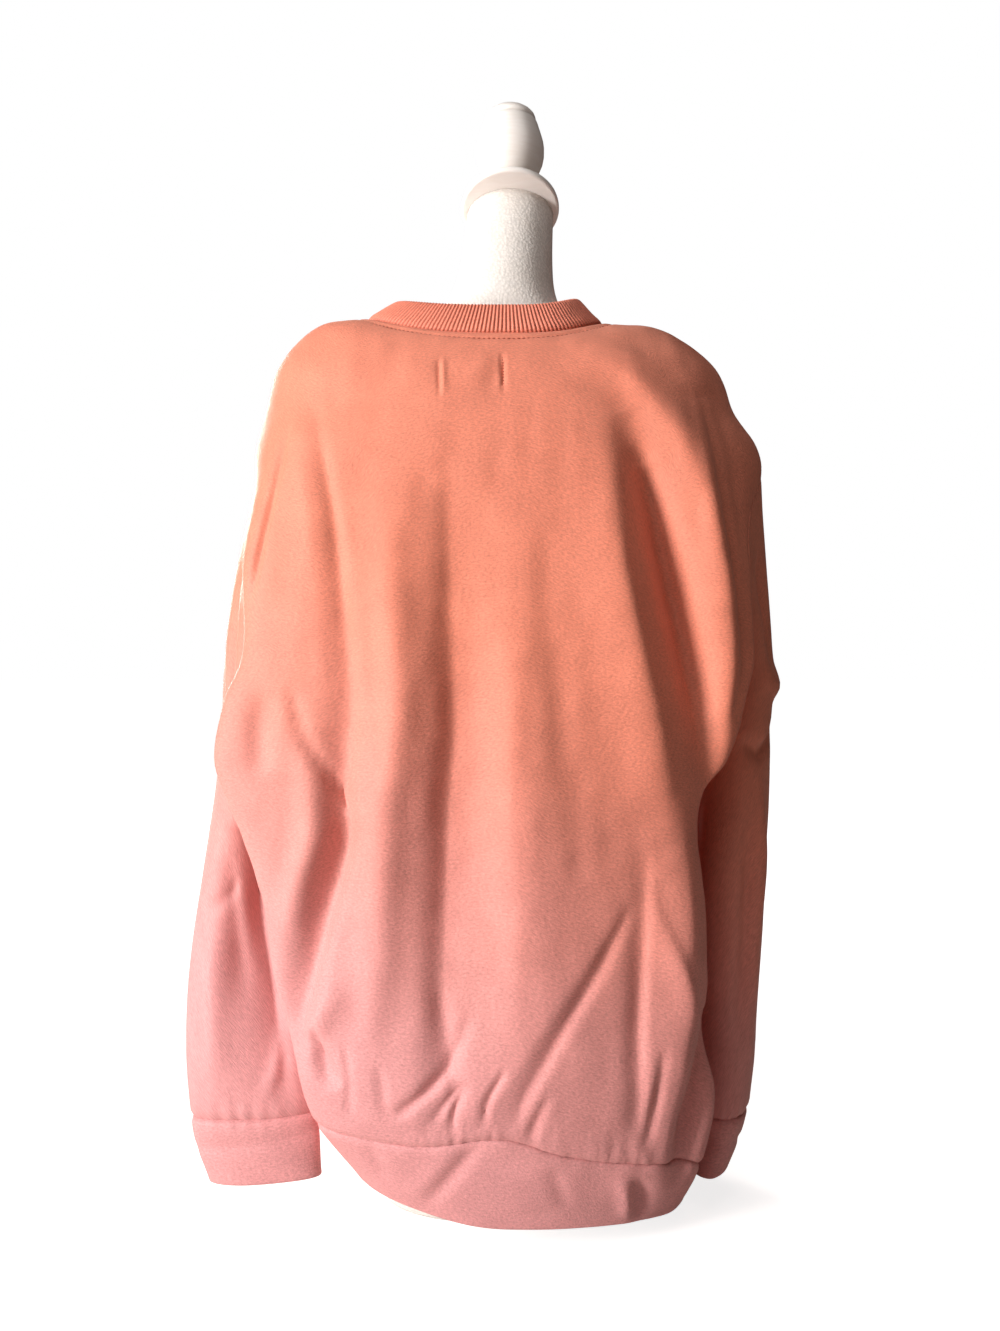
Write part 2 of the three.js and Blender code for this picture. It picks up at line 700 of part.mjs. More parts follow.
function neckCap() {
  const loops = [];
  const disc = (radius, height) => {
    const middle = capSeat.clone().addScaledVector(capNormal, height);
    loops.push(tiltedLoop(roundSides, middle, radius, radius, neckTilt, 1));
  };
  disc(capRadius - capLip, 0);
  disc(capRadius, capLip);
  disc(capRadius, capThickness - capLip);
  disc(capRadius - capLip, capThickness);
  disc(bossRadius + 2, capThickness + 1);
  const bossTop = capSeat.clone().addScaledVector(capNormal, capThickness);
  bossTop.z += bossHeight;
  loops.push(tiltedLoop(roundSides, bossTop, bossRadius, bossRadius, 0, 1));
  return { geometry: loftGeometry(loops), seat: bossTop };
}

function finialGeometry() {
  const outline = finialProfile.map((p) => new THREE.Vector2(p.radius, p.height));
  const geometry = new THREE.LatheGeometry([new THREE.Vector2(0, 0), ...outline], roundSides);
  geometry.deleteAttribute("normal");
  geometry.deleteAttribute("uv");
  return geometry.rotateX(Math.PI / 2); // the lathe turns about Y, and the finial stands along Z
}

const materials = {
  body: new THREE.MeshStandardMaterial({ color: 0xe08f77, roughness: 0.95, metalness: 0 }),
  rib: new THREE.MeshStandardMaterial({ color: 0xe0886a, roughness: 0.95, metalness: 0 }),
  band: new THREE.MeshStandardMaterial({ color: 0xd99a9c, roughness: 0.95, metalness: 0 }),
  cover: new THREE.MeshStandardMaterial({ color: 0xf1e9df, roughness: 0.9, metalness: 0 }),
  wood: new THREE.MeshStandardMaterial({ color: 0xf2ece0, roughness: 0.45, metalness: 0 }),
};

const sweatshirt = new THREE.Group();
const standing = new THREE.Group();

function addPiece(group, name, geometry, material) {
  const mesh = new THREE.Mesh(geometry, material);
  mesh.name = name;
  group.add(mesh);
  return mesh;
}

addPiece(sweatshirt, "back_panel", panelWall(true), materials.body);
addPiece(sweatshirt, "front_panel", panelWall(false), materials.body);
addPiece(sweatshirt, "hem_band", hemBand(), materials.band);
addPiece(sweatshirt, "neck_rib", neckRib(), materials.rib);
for (const [side, isRight] of [["left", false], ["right", true]]) {
  const sleeve = sleeveWall(isRight, 0, cuffSeam, sleeveRows, fleeceWall);
  const cuff = sleeveWall(isRight, cuffSeam, cuffEdge, cuffRows, bandWall);
  addPiece(sweatshirt, side + "_sleeve", sleeve, materials.body);
  addPiece(sweatshirt, side + "_cuff", cuff, materials.band);
}

const cap = neckCap();
addPiece(standing, "dress_form", dressForm(), materials.cover);
addPiece(standing, "neck_cap", cap.geometry, materials.wood);
const finial = addPiece(standing, "finial", finialGeometry(), materials.wood);
finial.position.copy(cap.seat).add(new THREE.Vector3(0, 0, seamGap));

const model = new THREE.Group();
model.add(sweatshirt, standing);

export default model;
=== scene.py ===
import math

import bmesh
import bpy
import numpy as np
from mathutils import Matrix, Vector


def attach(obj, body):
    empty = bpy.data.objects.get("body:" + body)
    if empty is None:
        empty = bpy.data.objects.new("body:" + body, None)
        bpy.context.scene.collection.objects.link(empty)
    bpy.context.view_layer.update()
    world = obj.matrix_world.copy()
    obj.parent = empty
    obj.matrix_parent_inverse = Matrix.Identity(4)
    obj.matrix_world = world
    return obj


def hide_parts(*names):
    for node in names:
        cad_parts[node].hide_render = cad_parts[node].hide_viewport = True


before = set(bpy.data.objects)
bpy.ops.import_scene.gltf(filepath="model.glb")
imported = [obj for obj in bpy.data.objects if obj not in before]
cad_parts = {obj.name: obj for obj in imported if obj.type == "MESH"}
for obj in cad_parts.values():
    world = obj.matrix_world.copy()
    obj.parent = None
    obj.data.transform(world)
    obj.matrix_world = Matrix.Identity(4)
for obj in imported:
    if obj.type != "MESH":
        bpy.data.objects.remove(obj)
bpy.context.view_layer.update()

# Sizes of the garment and the form are millimetres, seen from behind: x to the wearer's right,
# z up, and the back facing -Y. They become metres when a mesh is made.


# Colour and node helpers
def toLinear(hexText):
    parts = [int(hexText[i : i + 2], 16) / 255 for i in (1, 3, 5)]
    return [c / 12.92 if c <= 0.04045 else ((c + 0.055) / 1.055) ** 2.4 for c in parts] + [1.0]


def addNode(tree, kind, inputs=None, **settings):
    made = tree.nodes.new(kind)
    for name, value in settings.items():
        setattr(made, name, value)
    for key, value in (inputs or {}).items():
        if isinstance(value, bpy.types.NodeSocket):
            tree.links.new(value, made.inputs[key])
        else:
            made.inputs[key].default_value = value
    return made


def newMaterial(name):
    made = bpy.data.materials.new(name)
    made.use_nodes = True
    made.node_tree.nodes.clear()
    return made, made.node_tree


# Camera
cameraLook = {
    "place": (-0.0052, -0.875, 0.450),
    "focalPixels": 1005.0,  # of a frame 1331 pixels tall
    "frameTall": 1331.0,
}
cameraData = bpy.data.cameras.new("camera")
cameraData.sensor_fit = "VERTICAL"
cameraData.sensor_height = 24.0
cameraData.lens = 24.0 * cameraLook["focalPixels"] / cameraLook["frameTall"]
cameraData.clip_start = 0.01
camera = bpy.data.objects.new("camera", cameraData)
bpy.context.collection.objects.link(camera)
camera.location = cameraLook["place"]
camera.rotation_euler = (math.radians(90), 0, 0)
bpy.context.scene.camera = camera
print("camera placed")


# Dip-dyed cotton: brushed fleece with a short nap, so it is matt, slightly fuzzy at grazing
# angles, and flecked like heather. Coral at the top, dusty pink below, with a slanting change.
# Scales of patterns are counts in a metre.
clothLook = {
    "coral": "#E3856A",
    "pink": "#DE9896",
    "changeMiddle": 0.265,  # height of the change at the middle, in metres
    "changeSlope": 0.50,  # it sits lower towards the wearer's right
    "changeHalf": 0.230,
    "changeWaver": 0.07,  # how far the change wanders up and down
    "cloudScale": 9.0,
    "fleckScale": 620.0,  # heather flecks are under 1 mm, drawn at about 1.6 mm to show
    "fleckAcross": 0.55,
    "fleckDark": 0.72,
    "fleckLight": 1.18,
    "patchScale": 34.0,  # uneven dye, about 30 mm across
    "patchDark": 0.95,
    "patchLight": 1.05,
    "napScale": 380.0,  # tufts of the nap, about 2.6 mm
    "napShare": 0.8,
    "reliefStrength": 0.65,
    "paintedValleyShade": 0.70,  # painted shade in the valleys between ribs
    # a painted highlight on the crowns of the ribs
    "paintedCrownHighlight": 1.18,
    "roughness": 0.60,  # the nap lies flat and catches a side light
    "fuzz": 0.20,
    "fuzzRoughness": 0.55,
    "fuzzColour": "#FFCDB8",
}


def clothMaterial(name, grainAcross, grainAlong, grainHeight, tint, fuzz, paintRibShade=False):
    made, tree = newMaterial(name)
    uv = addNode(tree, "ShaderNodeUVMap", uv_map="cloth").outputs["UV"]
    place = addNode(tree, "ShaderNodeTexCoord").outputs["Object"]
    axes = addNode(tree, "ShaderNodeSeparateXYZ", {0: place}).outputs
    slanted = addNode(
        tree,
        "ShaderNodeMath",
        {0: axes["X"], 1: clothLook["changeSlope"], 2: axes["Z"]},
        operation="MULTIPLY_ADD",
    ).outputs[0]
    cloud = addNode(
        tree, "ShaderNodeTexNoise", {"Vector": place, "Scale": clothLook["cloudScale"], "Detail": 3.0}
    ).outputs[0]
    wavering = addNode(
        tree,
        "ShaderNodeMath",
        {0: cloud, 1: clothLook["changeWaver"], 2: slanted},
        operation="MULTIPLY_ADD",
    ).outputs[0]
    low = clothLook["changeMiddle"] + 0.5 * clothLook["changeWaver"] - clothLook["changeHalf"]
    change = addNode(
        tree,
        "ShaderNodeMapRange",
        {"Value": wavering, "From Min": low, "From Max": low + 2 * clothLook["changeHalf"]},
        interpolation_type="SMOOTHSTEP",
    ).outputs[0]
    dyed = addNode(
        tree,
        "ShaderNodeMix",
        {"Factor": change, 6: toLinear(clothLook["pink"]), 7: toLinear(clothLook["coral"])},
        data_type="RGBA",
    ).outputs[2]
    tinted = addNode(
        tree,
        "ShaderNodeMix",
        {"Factor": 1.0, 6: dyed, 7: toLinear(tint)},
        data_type="RGBA",
        blend_type="MULTIPLY",
    ).outputs[2]
    stretched = addNode(
        tree, "ShaderNodeMapping", {"Vector": uv, "Scale": (clothLook["fleckAcross"], 1.0, 1.0)}
    ).outputs[0]
    fleck = addNode(
        tree,
        "ShaderNodeTexNoise",
        {"Vector": stretched, "Scale": clothLook["fleckScale"], "Detail": 3.0, "Roughness": 0.75},
    ).outputs[0]
    fleckShade = addNode(
        tree,
        "ShaderNodeMapRange",
        {
            "Value": fleck,
            "From Min": 0.28,
            "From Max": 0.72,
            "To Min": clothLook["fleckDark"],
            "To Max": clothLook["fleckLight"],
        },
    ).outputs[0]
    patch = addNode(
        tree, "ShaderNodeTexNoise", {"Vector": uv, "Scale": clothLook["patchScale"], "Detail": 4.0}
    ).outputs[0]
    patchShade = addNode(
        tree,
        "ShaderNodeMapRange",
        {
            "Value": patch,
            "From Min": 0.3,
            "From Max": 0.7,
            "To Min": clothLook["patchDark"],
            "To Max": clothLook["patchLight"],
        },
    ).outputs[0]
    shade = addNode(tree, "ShaderNodeMath", {0: fleckShade, 1: patchShade}, operation="MULTIPLY").outputs[0]
    # painted shade in the rib valleys and a painted highlight on the rib crowns, from the stored crown height
    if paintRibShade:
        ribShadeMask = addNode(tree, "ShaderNodeAttribute", attribute_name="ribShadeMask").outputs["Fac"]
        paintedRibShade = addNode(
            tree,
            "ShaderNodeMapRange",
            {"Value": ribShadeMask, "To Min": clothLook["paintedValleyShade"], "To Max": clothLook["paintedCrownHighlight"]},
        ).outputs[0]
        shade = addNode(tree, "ShaderNodeMath", {0: shade, 1: paintedRibShade}, operation="MULTIPLY").outputs[0]
    coloured = addNode(
        tree, "ShaderNodeVectorMath", {0: tinted, "Scale": shade}, operation="SCALE"
    ).outputs[0]
    # Courses of the knit, and the nap that hides most of them
    courses = addNode(
        tree, "ShaderNodeMapping", {"Vector": uv, "Scale": (grainAcross, grainAlong, 1.0)}
    ).outputs[0]
    knit = addNode(tree, "ShaderNodeTexNoise", {"Vector": courses, "Scale": 1.0, "Detail": 2.0}).outputs[0]
    nap = addNode(
        tree,
        "ShaderNodeTexNoise",
        {"Vector": uv, "Scale": clothLook["napScale"], "Detail": 4.0, "Roughness": 0.7},
    ).outputs[0]
    relief = addNode(
        tree, "ShaderNodeMath", {0: nap, 1: clothLook["napShare"], 2: knit}, operation="MULTIPLY_ADD"
    ).outputs[0]
    bump = addNode(
        tree,
        "ShaderNodeBump",
        {"Height": relief, "Strength": clothLook["reliefStrength"], "Distance": grainHeight / 1000},
    ).outputs[0]
    shader = addNode(
        tree,
        "ShaderNodeBsdfPrincipled",
        {
            "Base Color": coloured,
            "Roughness": clothLook["roughness"],
            "IOR": 1.5,
            "Specular IOR Level": 0.34,
            "Sheen Weight": fuzz,
            "Sheen Roughness": clothLook["fuzzRoughness"],
            "Sheen Tint": toLinear(clothLook["fuzzColour"]),
            "Normal": bump,
        },
    )
    addNode(tree, "ShaderNodeOutputMaterial", {"Surface": shader.outputs[0]})
    return made


# Each cloth: courses across and along in a metre, their height in mm, tint and fuzz
fleeceJersey = clothMaterial("brushed_fleece_jersey", 260.0, 900.0, 0.5, "#FFFFFF", clothLook["fuzz"])
# Knitted rib: smoother, with crowns that catch the light between shaded valleys, and painted shade in the
# valleys and a painted highlight on the crowns
ribKnit = clothMaterial("one_by_one_rib_knit", 900.0, 500.0, 0.35, "#FFFBFF", 0.24, paintRibShade=True)
# Band knit: closer and flatter than the fleece, so its folds look crisper
bandKnit = clothMaterial("doubled_band_knit", 700.0, 420.0, 0.4, "#FFFFFF", clothLook["fuzz"])

# Spun polyester sewing thread: dyed near the cloth, a little glossier and darker in its twist
sewingThread, threadTree = newMaterial("spun_polyester_thread")
threadPlace = addNode(threadTree, "ShaderNodeTexCoord").outputs["Object"]
threadTwist = addNode(threadTree, "ShaderNodeTexNoise", {"Vector": threadPlace, "Scale": 1500.0}).outputs[0]
threadRamp = addNode(
    threadTree,
    "ShaderNodeMix",
    {"Factor": threadTwist, 6: toLinear("#7E3420"), 7: toLinear("#B4593C")},
    data_type="RGBA",
).outputs[2]
threadShader = addNode(
    threadTree, "ShaderNodeBsdfPrincipled", {"Base Color": threadRamp, "Roughness": 0.55, "IOR": 1.55}
)
addNode(threadTree, "ShaderNodeOutputMaterial", {"Surface": threadShader.outputs[0]})
print("cloth materials made")


# Surface of the worn body: heights at the four sides, half widths and depths, and how far each
# corner is filled out
bodyColumns = "leftZ rightZ backZ frontZ left right back front backLeft backRight frontLeft frontRight"
bodyColumns = bodyColumns.split()
bodySections = np.array(
    [
        [58, 14, 21, 27, 132, 152, 112, 104, 12, 10, 10, 10],  # hem edge
        [98, 46, 84, 84, 132, 145, 128, 114, 46, 38, 28, 28],  # hem seam
        [135, 112, 136, 130, 142, 148, 137, 122, 52, 48, 36, 36],
        [190, 182, 190, 182, 146, 143, 129, 118, 66, 46, 38, 36],
        [262, 260, 262, 260, 150, 136, 122, 115, 74, 49, 38, 36],
        [318, 318, 318, 318, 154, 133, 120, 113, 90, 47, 38, 36],
        [374, 372, 374, 372, 158, 142, 119, 112, 108, 64, 40, 38],
        [422, 422, 425, 425, 168, 158, 116, 110, 92, 68, 36, 34],
        [455, 458, 475, 475, 182, 182, 113, 107, 66, 56, 26, 26],  # underarm
        [538, 540, 548, 545, 197, 200, 110, 103, 52, 32, 18, 18],
        [618, 618, 618, 610, 214, 219, 106, 97, 14, 0, 5, 5],  # top of the armhole
        [665, 661, 655, 634, 206, 197, 98, 92, 0, 0, 0, 0],
        [707, 706, 686, 650, 194, 177, 88, 86, 0, 0, 0, 0],  # shoulder tips
        [740, 737, 706, 660, 161, 133, 76, 80, 0, 0, 0, 0],
        [747, 743, 720, 669, 120, 84, 65, 74, 0, 0, 0, 0],  # neck seam
        [760, 763, 744, 691, 95, 62, 58, 63, 0, 0, 0, 0],  # top of the neck rib
    ],
    float,
)
hemSeam, underarm, armholeTop, neckSeam, ribTop = 1, 8, 10, 14, 15
bodyLook = {
    "ringPower": 0.833,
    "armholeHalfAngle": 0.6,
    "armholePower": 0.9,
    "hemRiseX": -8,
    "hemRiseWidth": 40,
    "hemRise": 12,
    "wall": 2.2,
    "bandWall": 4.0,
}


def smoothStep(low, high, value):
    share = np.clip((value - low) / (high - low), 0, 1)
    return share * share * (3 - 2 * share)


def sectionAt(sections, level):
    level = np.asarray(level, float)
    last = len(sections) - 1
    row = np.clip(np.floor(level).astype(int), 0, last - 1)
    share = (level - row)[..., None]
    before = sections[np.maximum(row - 1, 0)]
    start = sections[row]
    end = sections[row + 1]
    after = sections[np.minimum(row + 2, last)]
    startSlope = (end - before) / 2
    endSlope = (after - start) / 2
    rise = end - start
    curve = 3 * rise - 2 * startSlope - endSlope
    bend = startSlope + endSlope - 2 * rise
    return start + share * (startSlope + share * (curve + share * bend))


def signedPower(value, power):
    return np.sign(value) * np.abs(value) ** power


def plainBody(angle, level):
    s = dict(zip(bodyColumns, np.moveaxis(sectionAt(bodySections, level), -1, 0)))
    c, n = np.cos(angle), np.sin(angle)
    isBack, isRight = n < 0, c > 0
    corner = np.where(
        isBack,
        np.where(isRight, s["backRight"], s["backLeft"]),
        np.where(isRight, s["frontRight"], s["frontLeft"]),
    )
    power = bodyLook["ringPower"]
    x = signedPower(c, power) * np.where(isRight, s["right"], s["left"])
    x = x + np.sign(c) * corner * np.abs(np.sin(2 * angle)) ** 3
    y = signedPower(n, power) * np.where(isBack, s["back"], s["front"])
    sideShare = np.abs(c) ** (1.5 + 0.06 * level)
    faceZ = np.where(isBack, s["backZ"], s["frontZ"])
    z = faceZ + (np.where(isRight, s["rightZ"], s["leftZ"]) - faceZ) * sideShare
    lift = smoothStep(0, hemSeam, level) * (1 - smoothStep(hemSeam, 2.5, level)) * isBack
    fromLift = (x - bodyLook["hemRiseX"]) / bodyLook["hemRiseWidth"]
    z = z + lift * bodyLook["hemRise"] * np.exp(-(fromLift**2))
    return np.stack([x, y, z], -1)


def plainNormal(angle, level):
    step = 1e-3
    a = plainBody(angle + step, level) - plainBody(angle - step, level)
    b = plainBody(angle, level + step) - plainBody(angle, level - step)
    n = np.cross(a, b)
    return n / np.maximum(np.linalg.norm(n, axis=-1, keepdims=True), 1e-9)


# A fold is a bent line, how far it spreads to each side, and how far it stands out or sinks in.
# A pleat has a fifth value, its fall's width at the top as a share.
foldLook = {
    "endShare": 0.03,  # a fold starts and ends just short of nothing
    "foldTaper": 0.8,
    "pleatTaper": 0.6,
    "pleatEase": 1.25,
    "pleatSoften": 0.06,
}


def foldRise(folds, x, z):
    total = np.zeros_like(x)
    for fold in folds:
        path, leftWidth, rightWidth, rise = fold[:4]
        points = np.array(path, float)
        steps = np.linspace(0, len(points) - 1, 4 * (len(points) - 1) + 1)
        line = sectionAt(points, steps) if len(points) > 2 else points
        count = len(line) - 1
        nearest = np.full(x.shape, 1e9)
        share = np.zeros_like(x)
        lateral = np.zeros_like(x)  # -1 on the left of the line, 1 on its right
        for i in range(count):
            a, b = line[i], line[i + 1]
            ab = b - a
            t = np.clip(((x - a[0]) * ab[0] + (z - a[1]) * ab[1]) / (ab @ ab), 0, 1)
            dx, dz = x - a[0] - t * ab[0], z - a[1] - t * ab[1]
            distance = np.hypot(dx, dz)
            closer = distance < nearest
            nearest = np.where(closer, distance, nearest)
            share = np.where(closer, (i + t) / count, share)
            across = (dx * -ab[1] + dz * ab[0]) / (np.hypot(*ab) * np.maximum(distance, 1e-6))
            lateral = np.where(closer, np.clip(across, -1, 1), lateral)
        rightShare = 0.5 + 0.5 * lateral
        isPleat = len(fold) == 5
        swell = np.sin(math.pi * (foldLook["endShare"] + (1 - 2 * foldLook["endShare"]) * share))
        taper = swell ** foldLook["pleatTaper" if isPleat else "foldTaper"]
        if isPleat:
            ramp = np.clip(1 - nearest / (leftWidth * (fold[4] + (1 - fold[4]) * share)), 0, 1)
            eased = ramp ** foldLook["pleatEase"] * (1 - foldLook["pleatSoften"] * ramp)
            turn = (1 - foldLook["pleatSoften"]) * np.exp(-((nearest / rightWidth) ** 2))
            total += rise * taper * (eased + (turn - eased) * rightShare)
        else:
            width = leftWidth + (rightWidth - leftWidth) * rightShare
            total += rise * taper * np.exp(-((nearest / width) ** 2))
    return total


# Each row is a path, its spread to the left and the right, and its rise. Lines run downwards, and
# those of the back follow the photograph.
backFolds = [
    # the deep hollow down the wearer's right side, and the ridge beyond it
    ([(92, 648), (102, 625), (114, 591), (125, 545), (136, 500), (146, 454), (154, 409)], 16, 12, -10),
    (
        [(108, 606), (116, 580), (125, 545), (136, 500), (146, 454), (154, 409), (160, 363), (163, 317)],
        16, 12, -17,
    ),
    (
        [(60, 700), (92, 684), (118, 652), (138, 620), (154, 580)]
        + [(163, 540), (170, 500), (176, 454), (178, 409)],
        12, 20, 9,
    ),
    ([(160, 668), (168, 630), (175, 582), (184, 530), (188, 486)], 22, 7, 5),
    ([(74, 620), (84, 540), (96, 480), (107, 430), (117, 380), (121, 335)], 25, 12, 9),
    # the long valley left of the middle, with a round ridge each side
    (
        [(-42, 596), (-43, 540), (-40, 470), (-39, 400), (-44, 340)]
        + [(-46, 271), (-48, 226), (-49, 170), (-50, 116)],
        14, 46, -12.5,
    ),
    (
        [(-88, 590), (-88, 520), (-82, 454), (-82, 400), (-90, 340), (-94, 271), (-98, 210), (-104, 160)],
        19, 16, 10,
    ),
    ([(4, 520), (6, 454), (4, 409), (6, 340), (12, 271), (14, 210), (10, 170)], 20, 34, 6),
    ([(32, 560), (34, 480), (40, 409), (56, 330)], 16, 16, -3),
    # the wearer's left side
    ([(-126, 410), (-126, 352), (-124, 317), (-137, 272), (-149, 226), (-158, 190), (-162, 148)], 17, 8, -15),
    ([(-150, 390), (-147, 350), (-147, 317), (-160, 272), (-168, 240)], 12, 12, 7),
    ([(-186, 430), (-192, 400), (-190, 366)], 10, 12, -4),
    ([(-128, 208), (-140, 186), (-156, 164)], 9, 12, 6),
    ([(-150, 172), (-140, 150), (-128, 130)], 10, 8, -6),
    ([(-157, 650), (-150, 600), (-142, 550), (-138, 500)], 16, 14, 4),
    ([(-174, 640), (-180, 606), (-187, 572), (-194, 538), (-200, 506)], 3.6, 2.6, -4),
    ([(159, 660), (166, 600), (175, 550), (184, 500), (187, 454), (180, 405)], 6.5, 15, -11),
    ([(160, 186), (153, 146), (143, 108), (137, 78), (134, 44)], 9, 14, -17),
    ([(-26, 190), (-43, 155), (-62, 132), (-82, 112)], 5, 4, -2.6),
    # above the hem
    ([(107, 300), (104, 226), (101, 180), (100, 135), (98, 98)], 10, 3.5, -4.5),
    ([(132, 350), (137, 290), (139, 226), (136, 180), (126, 130)], 22, 11, 8),
    ([(110, 272), (140, 196), (149, 166)], 10, 4, 3),
    ([(-52, 210), (-44, 160), (-36, 118)], 7, 8, -3),
    ([(30, 640), (26, 632), (24, 622)], 1.3, 1.3, 0.6),
    ([(51, 648), (52, 634), (51, 622)], 1.3, 1.3, 0.8),
]
# A pleat falls evenly from its left edge to a line, then turns back sharply to the right of it. Each
# row is path, fall's width, turn's width, rise, and the fall's width at the top as a share.
backPleats = [
    (
        [(-153, 654), (-142, 599), (-134, 553), (-128, 499), (-122, 439), (-118, 393), (-122, 350)],
        22, 7, -6, 0.8,
    ),
    ([(92, 262), (70, 222), (43, 180), (15, 135), (6, 112)], 20, 4.5, -4.8, 0.3),
    ([(-168, 431), (-157, 400), (-138, 370)], 12, 5, -3, 0.5),
    ([(-157, 393), (-138, 368), (-117, 340)], 10, 4, -3, 0.5),
    ([(-122, 166), (-119, 138), (-119, 112)], 7, 2.5, -3.2, 0.6),
    ([(-96, 150), (-93, 130), (-90, 112)], 8, 2.5, -3.2, 0.6),
    ([(-43, 150), (-62, 130), (-84, 112)], 9, 2.5, -3.2, 0.5),
    ([(-32, 140), (-46, 124), (-56, 108)], 7, 2.5, -3.0, 0.6),
    ([(-30, 138), (-38, 122), (-41, 106)], 6, 2.5, -3.0, 0.6),
    ([(-2, 150), (-14, 128), (-18, 104)], 8, 2.5, -3.4, 0.5),
    ([(30, 132), (22, 112), (18, 96)], 8, 3, -3.4, 0.5),
    ([(118, 160), (112, 120), (106, 88)], 9, 3, -3.4, 0.6),
    ([(-150, 204), (-146, 170), (-138, 134)], 8, 3, -3.4, 0.6),
]
labelMarks = [  # two rows of tacking where a label is sewn inside
    ([(-54, 692), (-53, 676), (-52, 660)], 1.8, 1.6, -1.2),
    ([(-50, 693), (-49.5, 676), (-49, 660)], 1.5, 2.4, 1.5),
    ([(-3.5, 697), (-3, 680), (-2, 661)], 1.7, 1.3, -2.4),
    ([(-5, 692), (-10, 676), (-16, 660)], 9, 5, -1.0),
    ([(-12, 694), (-22, 682), (-34, 666)], 6, 7, 0.8),
]
frontFolds = [
    ([(92, 640), (104, 540), (118, 450), (130, 360)], 20, 15, -11),
    ([(112, 560), (132, 470), (140, 400)], 12, 20, 6),
    ([(-96, 640), (-108, 540), (-122, 450), (-134, 360)], 15, 20, -10),
    ([(-120, 560), (-136, 480), (-144, 410)], 18, 12, 6),
    ([(20, 610), (26, 500), (30, 400), (30, 250)], 36, 30, 7),
    ([(-34, 560), (-38, 460), (-42, 360), (-52, 230)], 20, 18, -8),
    ([(70, 540), (66, 440), (58, 330)], 16, 18, -4),
    ([(-76, 470), (-80, 360), (-72, 260)], 14, 16, 5),
    ([(124, 330), (108, 250), (92, 180), (80, 116)], 14, 13, -9),
    ([(-122, 320), (-112, 240), (-98, 170), (-84, 112)], 13, 15, -8),
    ([(100, 280), (88, 220), (70, 150)], 10, 6, 3.5),
    ([(64, 300), (54, 220), (44, 110)], 15, 15, 6),
    ([(-14, 250), (-12, 190), (-6, 104)], 14, 12, -6),
    ([(-100, 250), (-70, 200), (-36, 150)], 6, 20, -5),
    ([(-30, 220), (-34, 170), (-30, 112)], 9, 9, 3.5),
    ([(140, 440), (120, 400), (96, 384)], 8, 8, -4),
    ([(-146, 436), (-124, 402), (-98, 388)], 8, 8, -4),
    ([(150, 180), (140, 130), (128, 92)], 10, 12, -7),
    ([(-40, 630), (0, 618), (44, 632)], 9, 12, -2.2),
    ([(-58, 600), (-4, 582), (50, 602)], 10, 14, 1.8),
]


# Soft random relief, the same on each run
def softNoise(u, v, cell, seed):
    rng = np.random.default_rng(seed)
    gridU, gridV = u / cell, v / cell
    low = np.array([gridU.min(), gridV.min()])
    gridU, gridV = gridU - low[0], gridV - low[1]
    values = rng.uniform(-1, 1, (int(gridU.max()) + 3, int(gridV.max()) + 3))
    iu, iv = gridU.astype(int), gridV.astype(int)
    fu, fv = gridU - iu, gridV - iv
    fu, fv = fu * fu * (3 - 2 * fu), fv * fv * (3 - 2 * fv)
    top = values[iu, iv] * (1 - fu) + values[iu + 1, iv] * fu
    bottom = values[iu, iv + 1] * (1 - fu) + values[iu + 1, iv + 1] * fu
    return top * (1 - fv) + bottom * fv


def gridNormals(grid, closed):
    if closed:
        wide = np.concatenate([grid[:, -1:], grid, grid[:, :1]], 1)
        across = (wide[:, 2:] - wide[:, :-2]) / 2
    else:
        across = np.gradient(grid, axis=1)
    along = np.gradient(grid, axis=0)
    n = np.cross(across, along)
    return n / np.maximum(np.linalg.norm(n, axis=-1, keepdims=True), 1e-9)


def runningLength(grid, axis):
    steps = np.linalg.norm(np.diff(grid, axis=axis), axis=-1)
    zero = np.zeros_like(np.take(steps, [0], axis=axis))
    return np.concatenate([zero, np.cumsum(steps, axis=axis)], axis=axis)


def gridObject(name, grid, closed, material, flip=False, attributes=None, closedRows=False):
    rows, columns = grid.shape[:2]
    steps = columns if closed else columns - 1
    r, c = np.meshgrid(np.arange(rows if closedRows else rows - 1), np.arange(steps), indexing="ij")
    c2, r2 = (c + 1) % columns, (r + 1) % rows
    faces = np.stack([r * columns + c, r * columns + c2, r2 * columns + c2, r2 * columns + c], -1)
    opened = np.concatenate([grid, grid[:, :1]], 1) if closed else grid
    opened = np.concatenate([opened, opened[:1]], 0) if closedRows else opened
    across = runningLength(opened, 1) / 1000
    across = across - across[:, -1:] / 2  # even about the middle, so the grain runs straight
    along = runningLength(opened, 0) / 1000
    uv = np.stack([across, along], -1)
    corners = np.stack([uv[r, c], uv[r, c + 1], uv[r + 1, c + 1], uv[r + 1, c]], 2)
    faces, corners = faces.reshape(-1, 4), corners.reshape(-1, 4, 2)
    if flip:
        faces, corners = faces[:, ::-1], corners[:, ::-1]
    mesh = bpy.data.meshes.new(name)
    mesh.from_pydata((grid.reshape(-1, 3) / 1000).tolist(), [], faces.tolist())
    layer = mesh.uv_layers.new(name="cloth")
    layer.data.foreach_set("uv", np.ascontiguousarray(corners, float).ravel())
    mesh.polygons.foreach_set("use_smooth", np.ones(len(faces), bool))
    for key, values in (attributes or {}).items():
        field = mesh.attributes.new(key, "FLOAT", "POINT")
        field.data.foreach_set("value", np.ascontiguousarray(values, float).ravel())
    mesh.materials.append(material)
    mesh.update()
    made = bpy.data.objects.new(name, mesh)
    bpy.context.collection.objects.link(made)
    return made


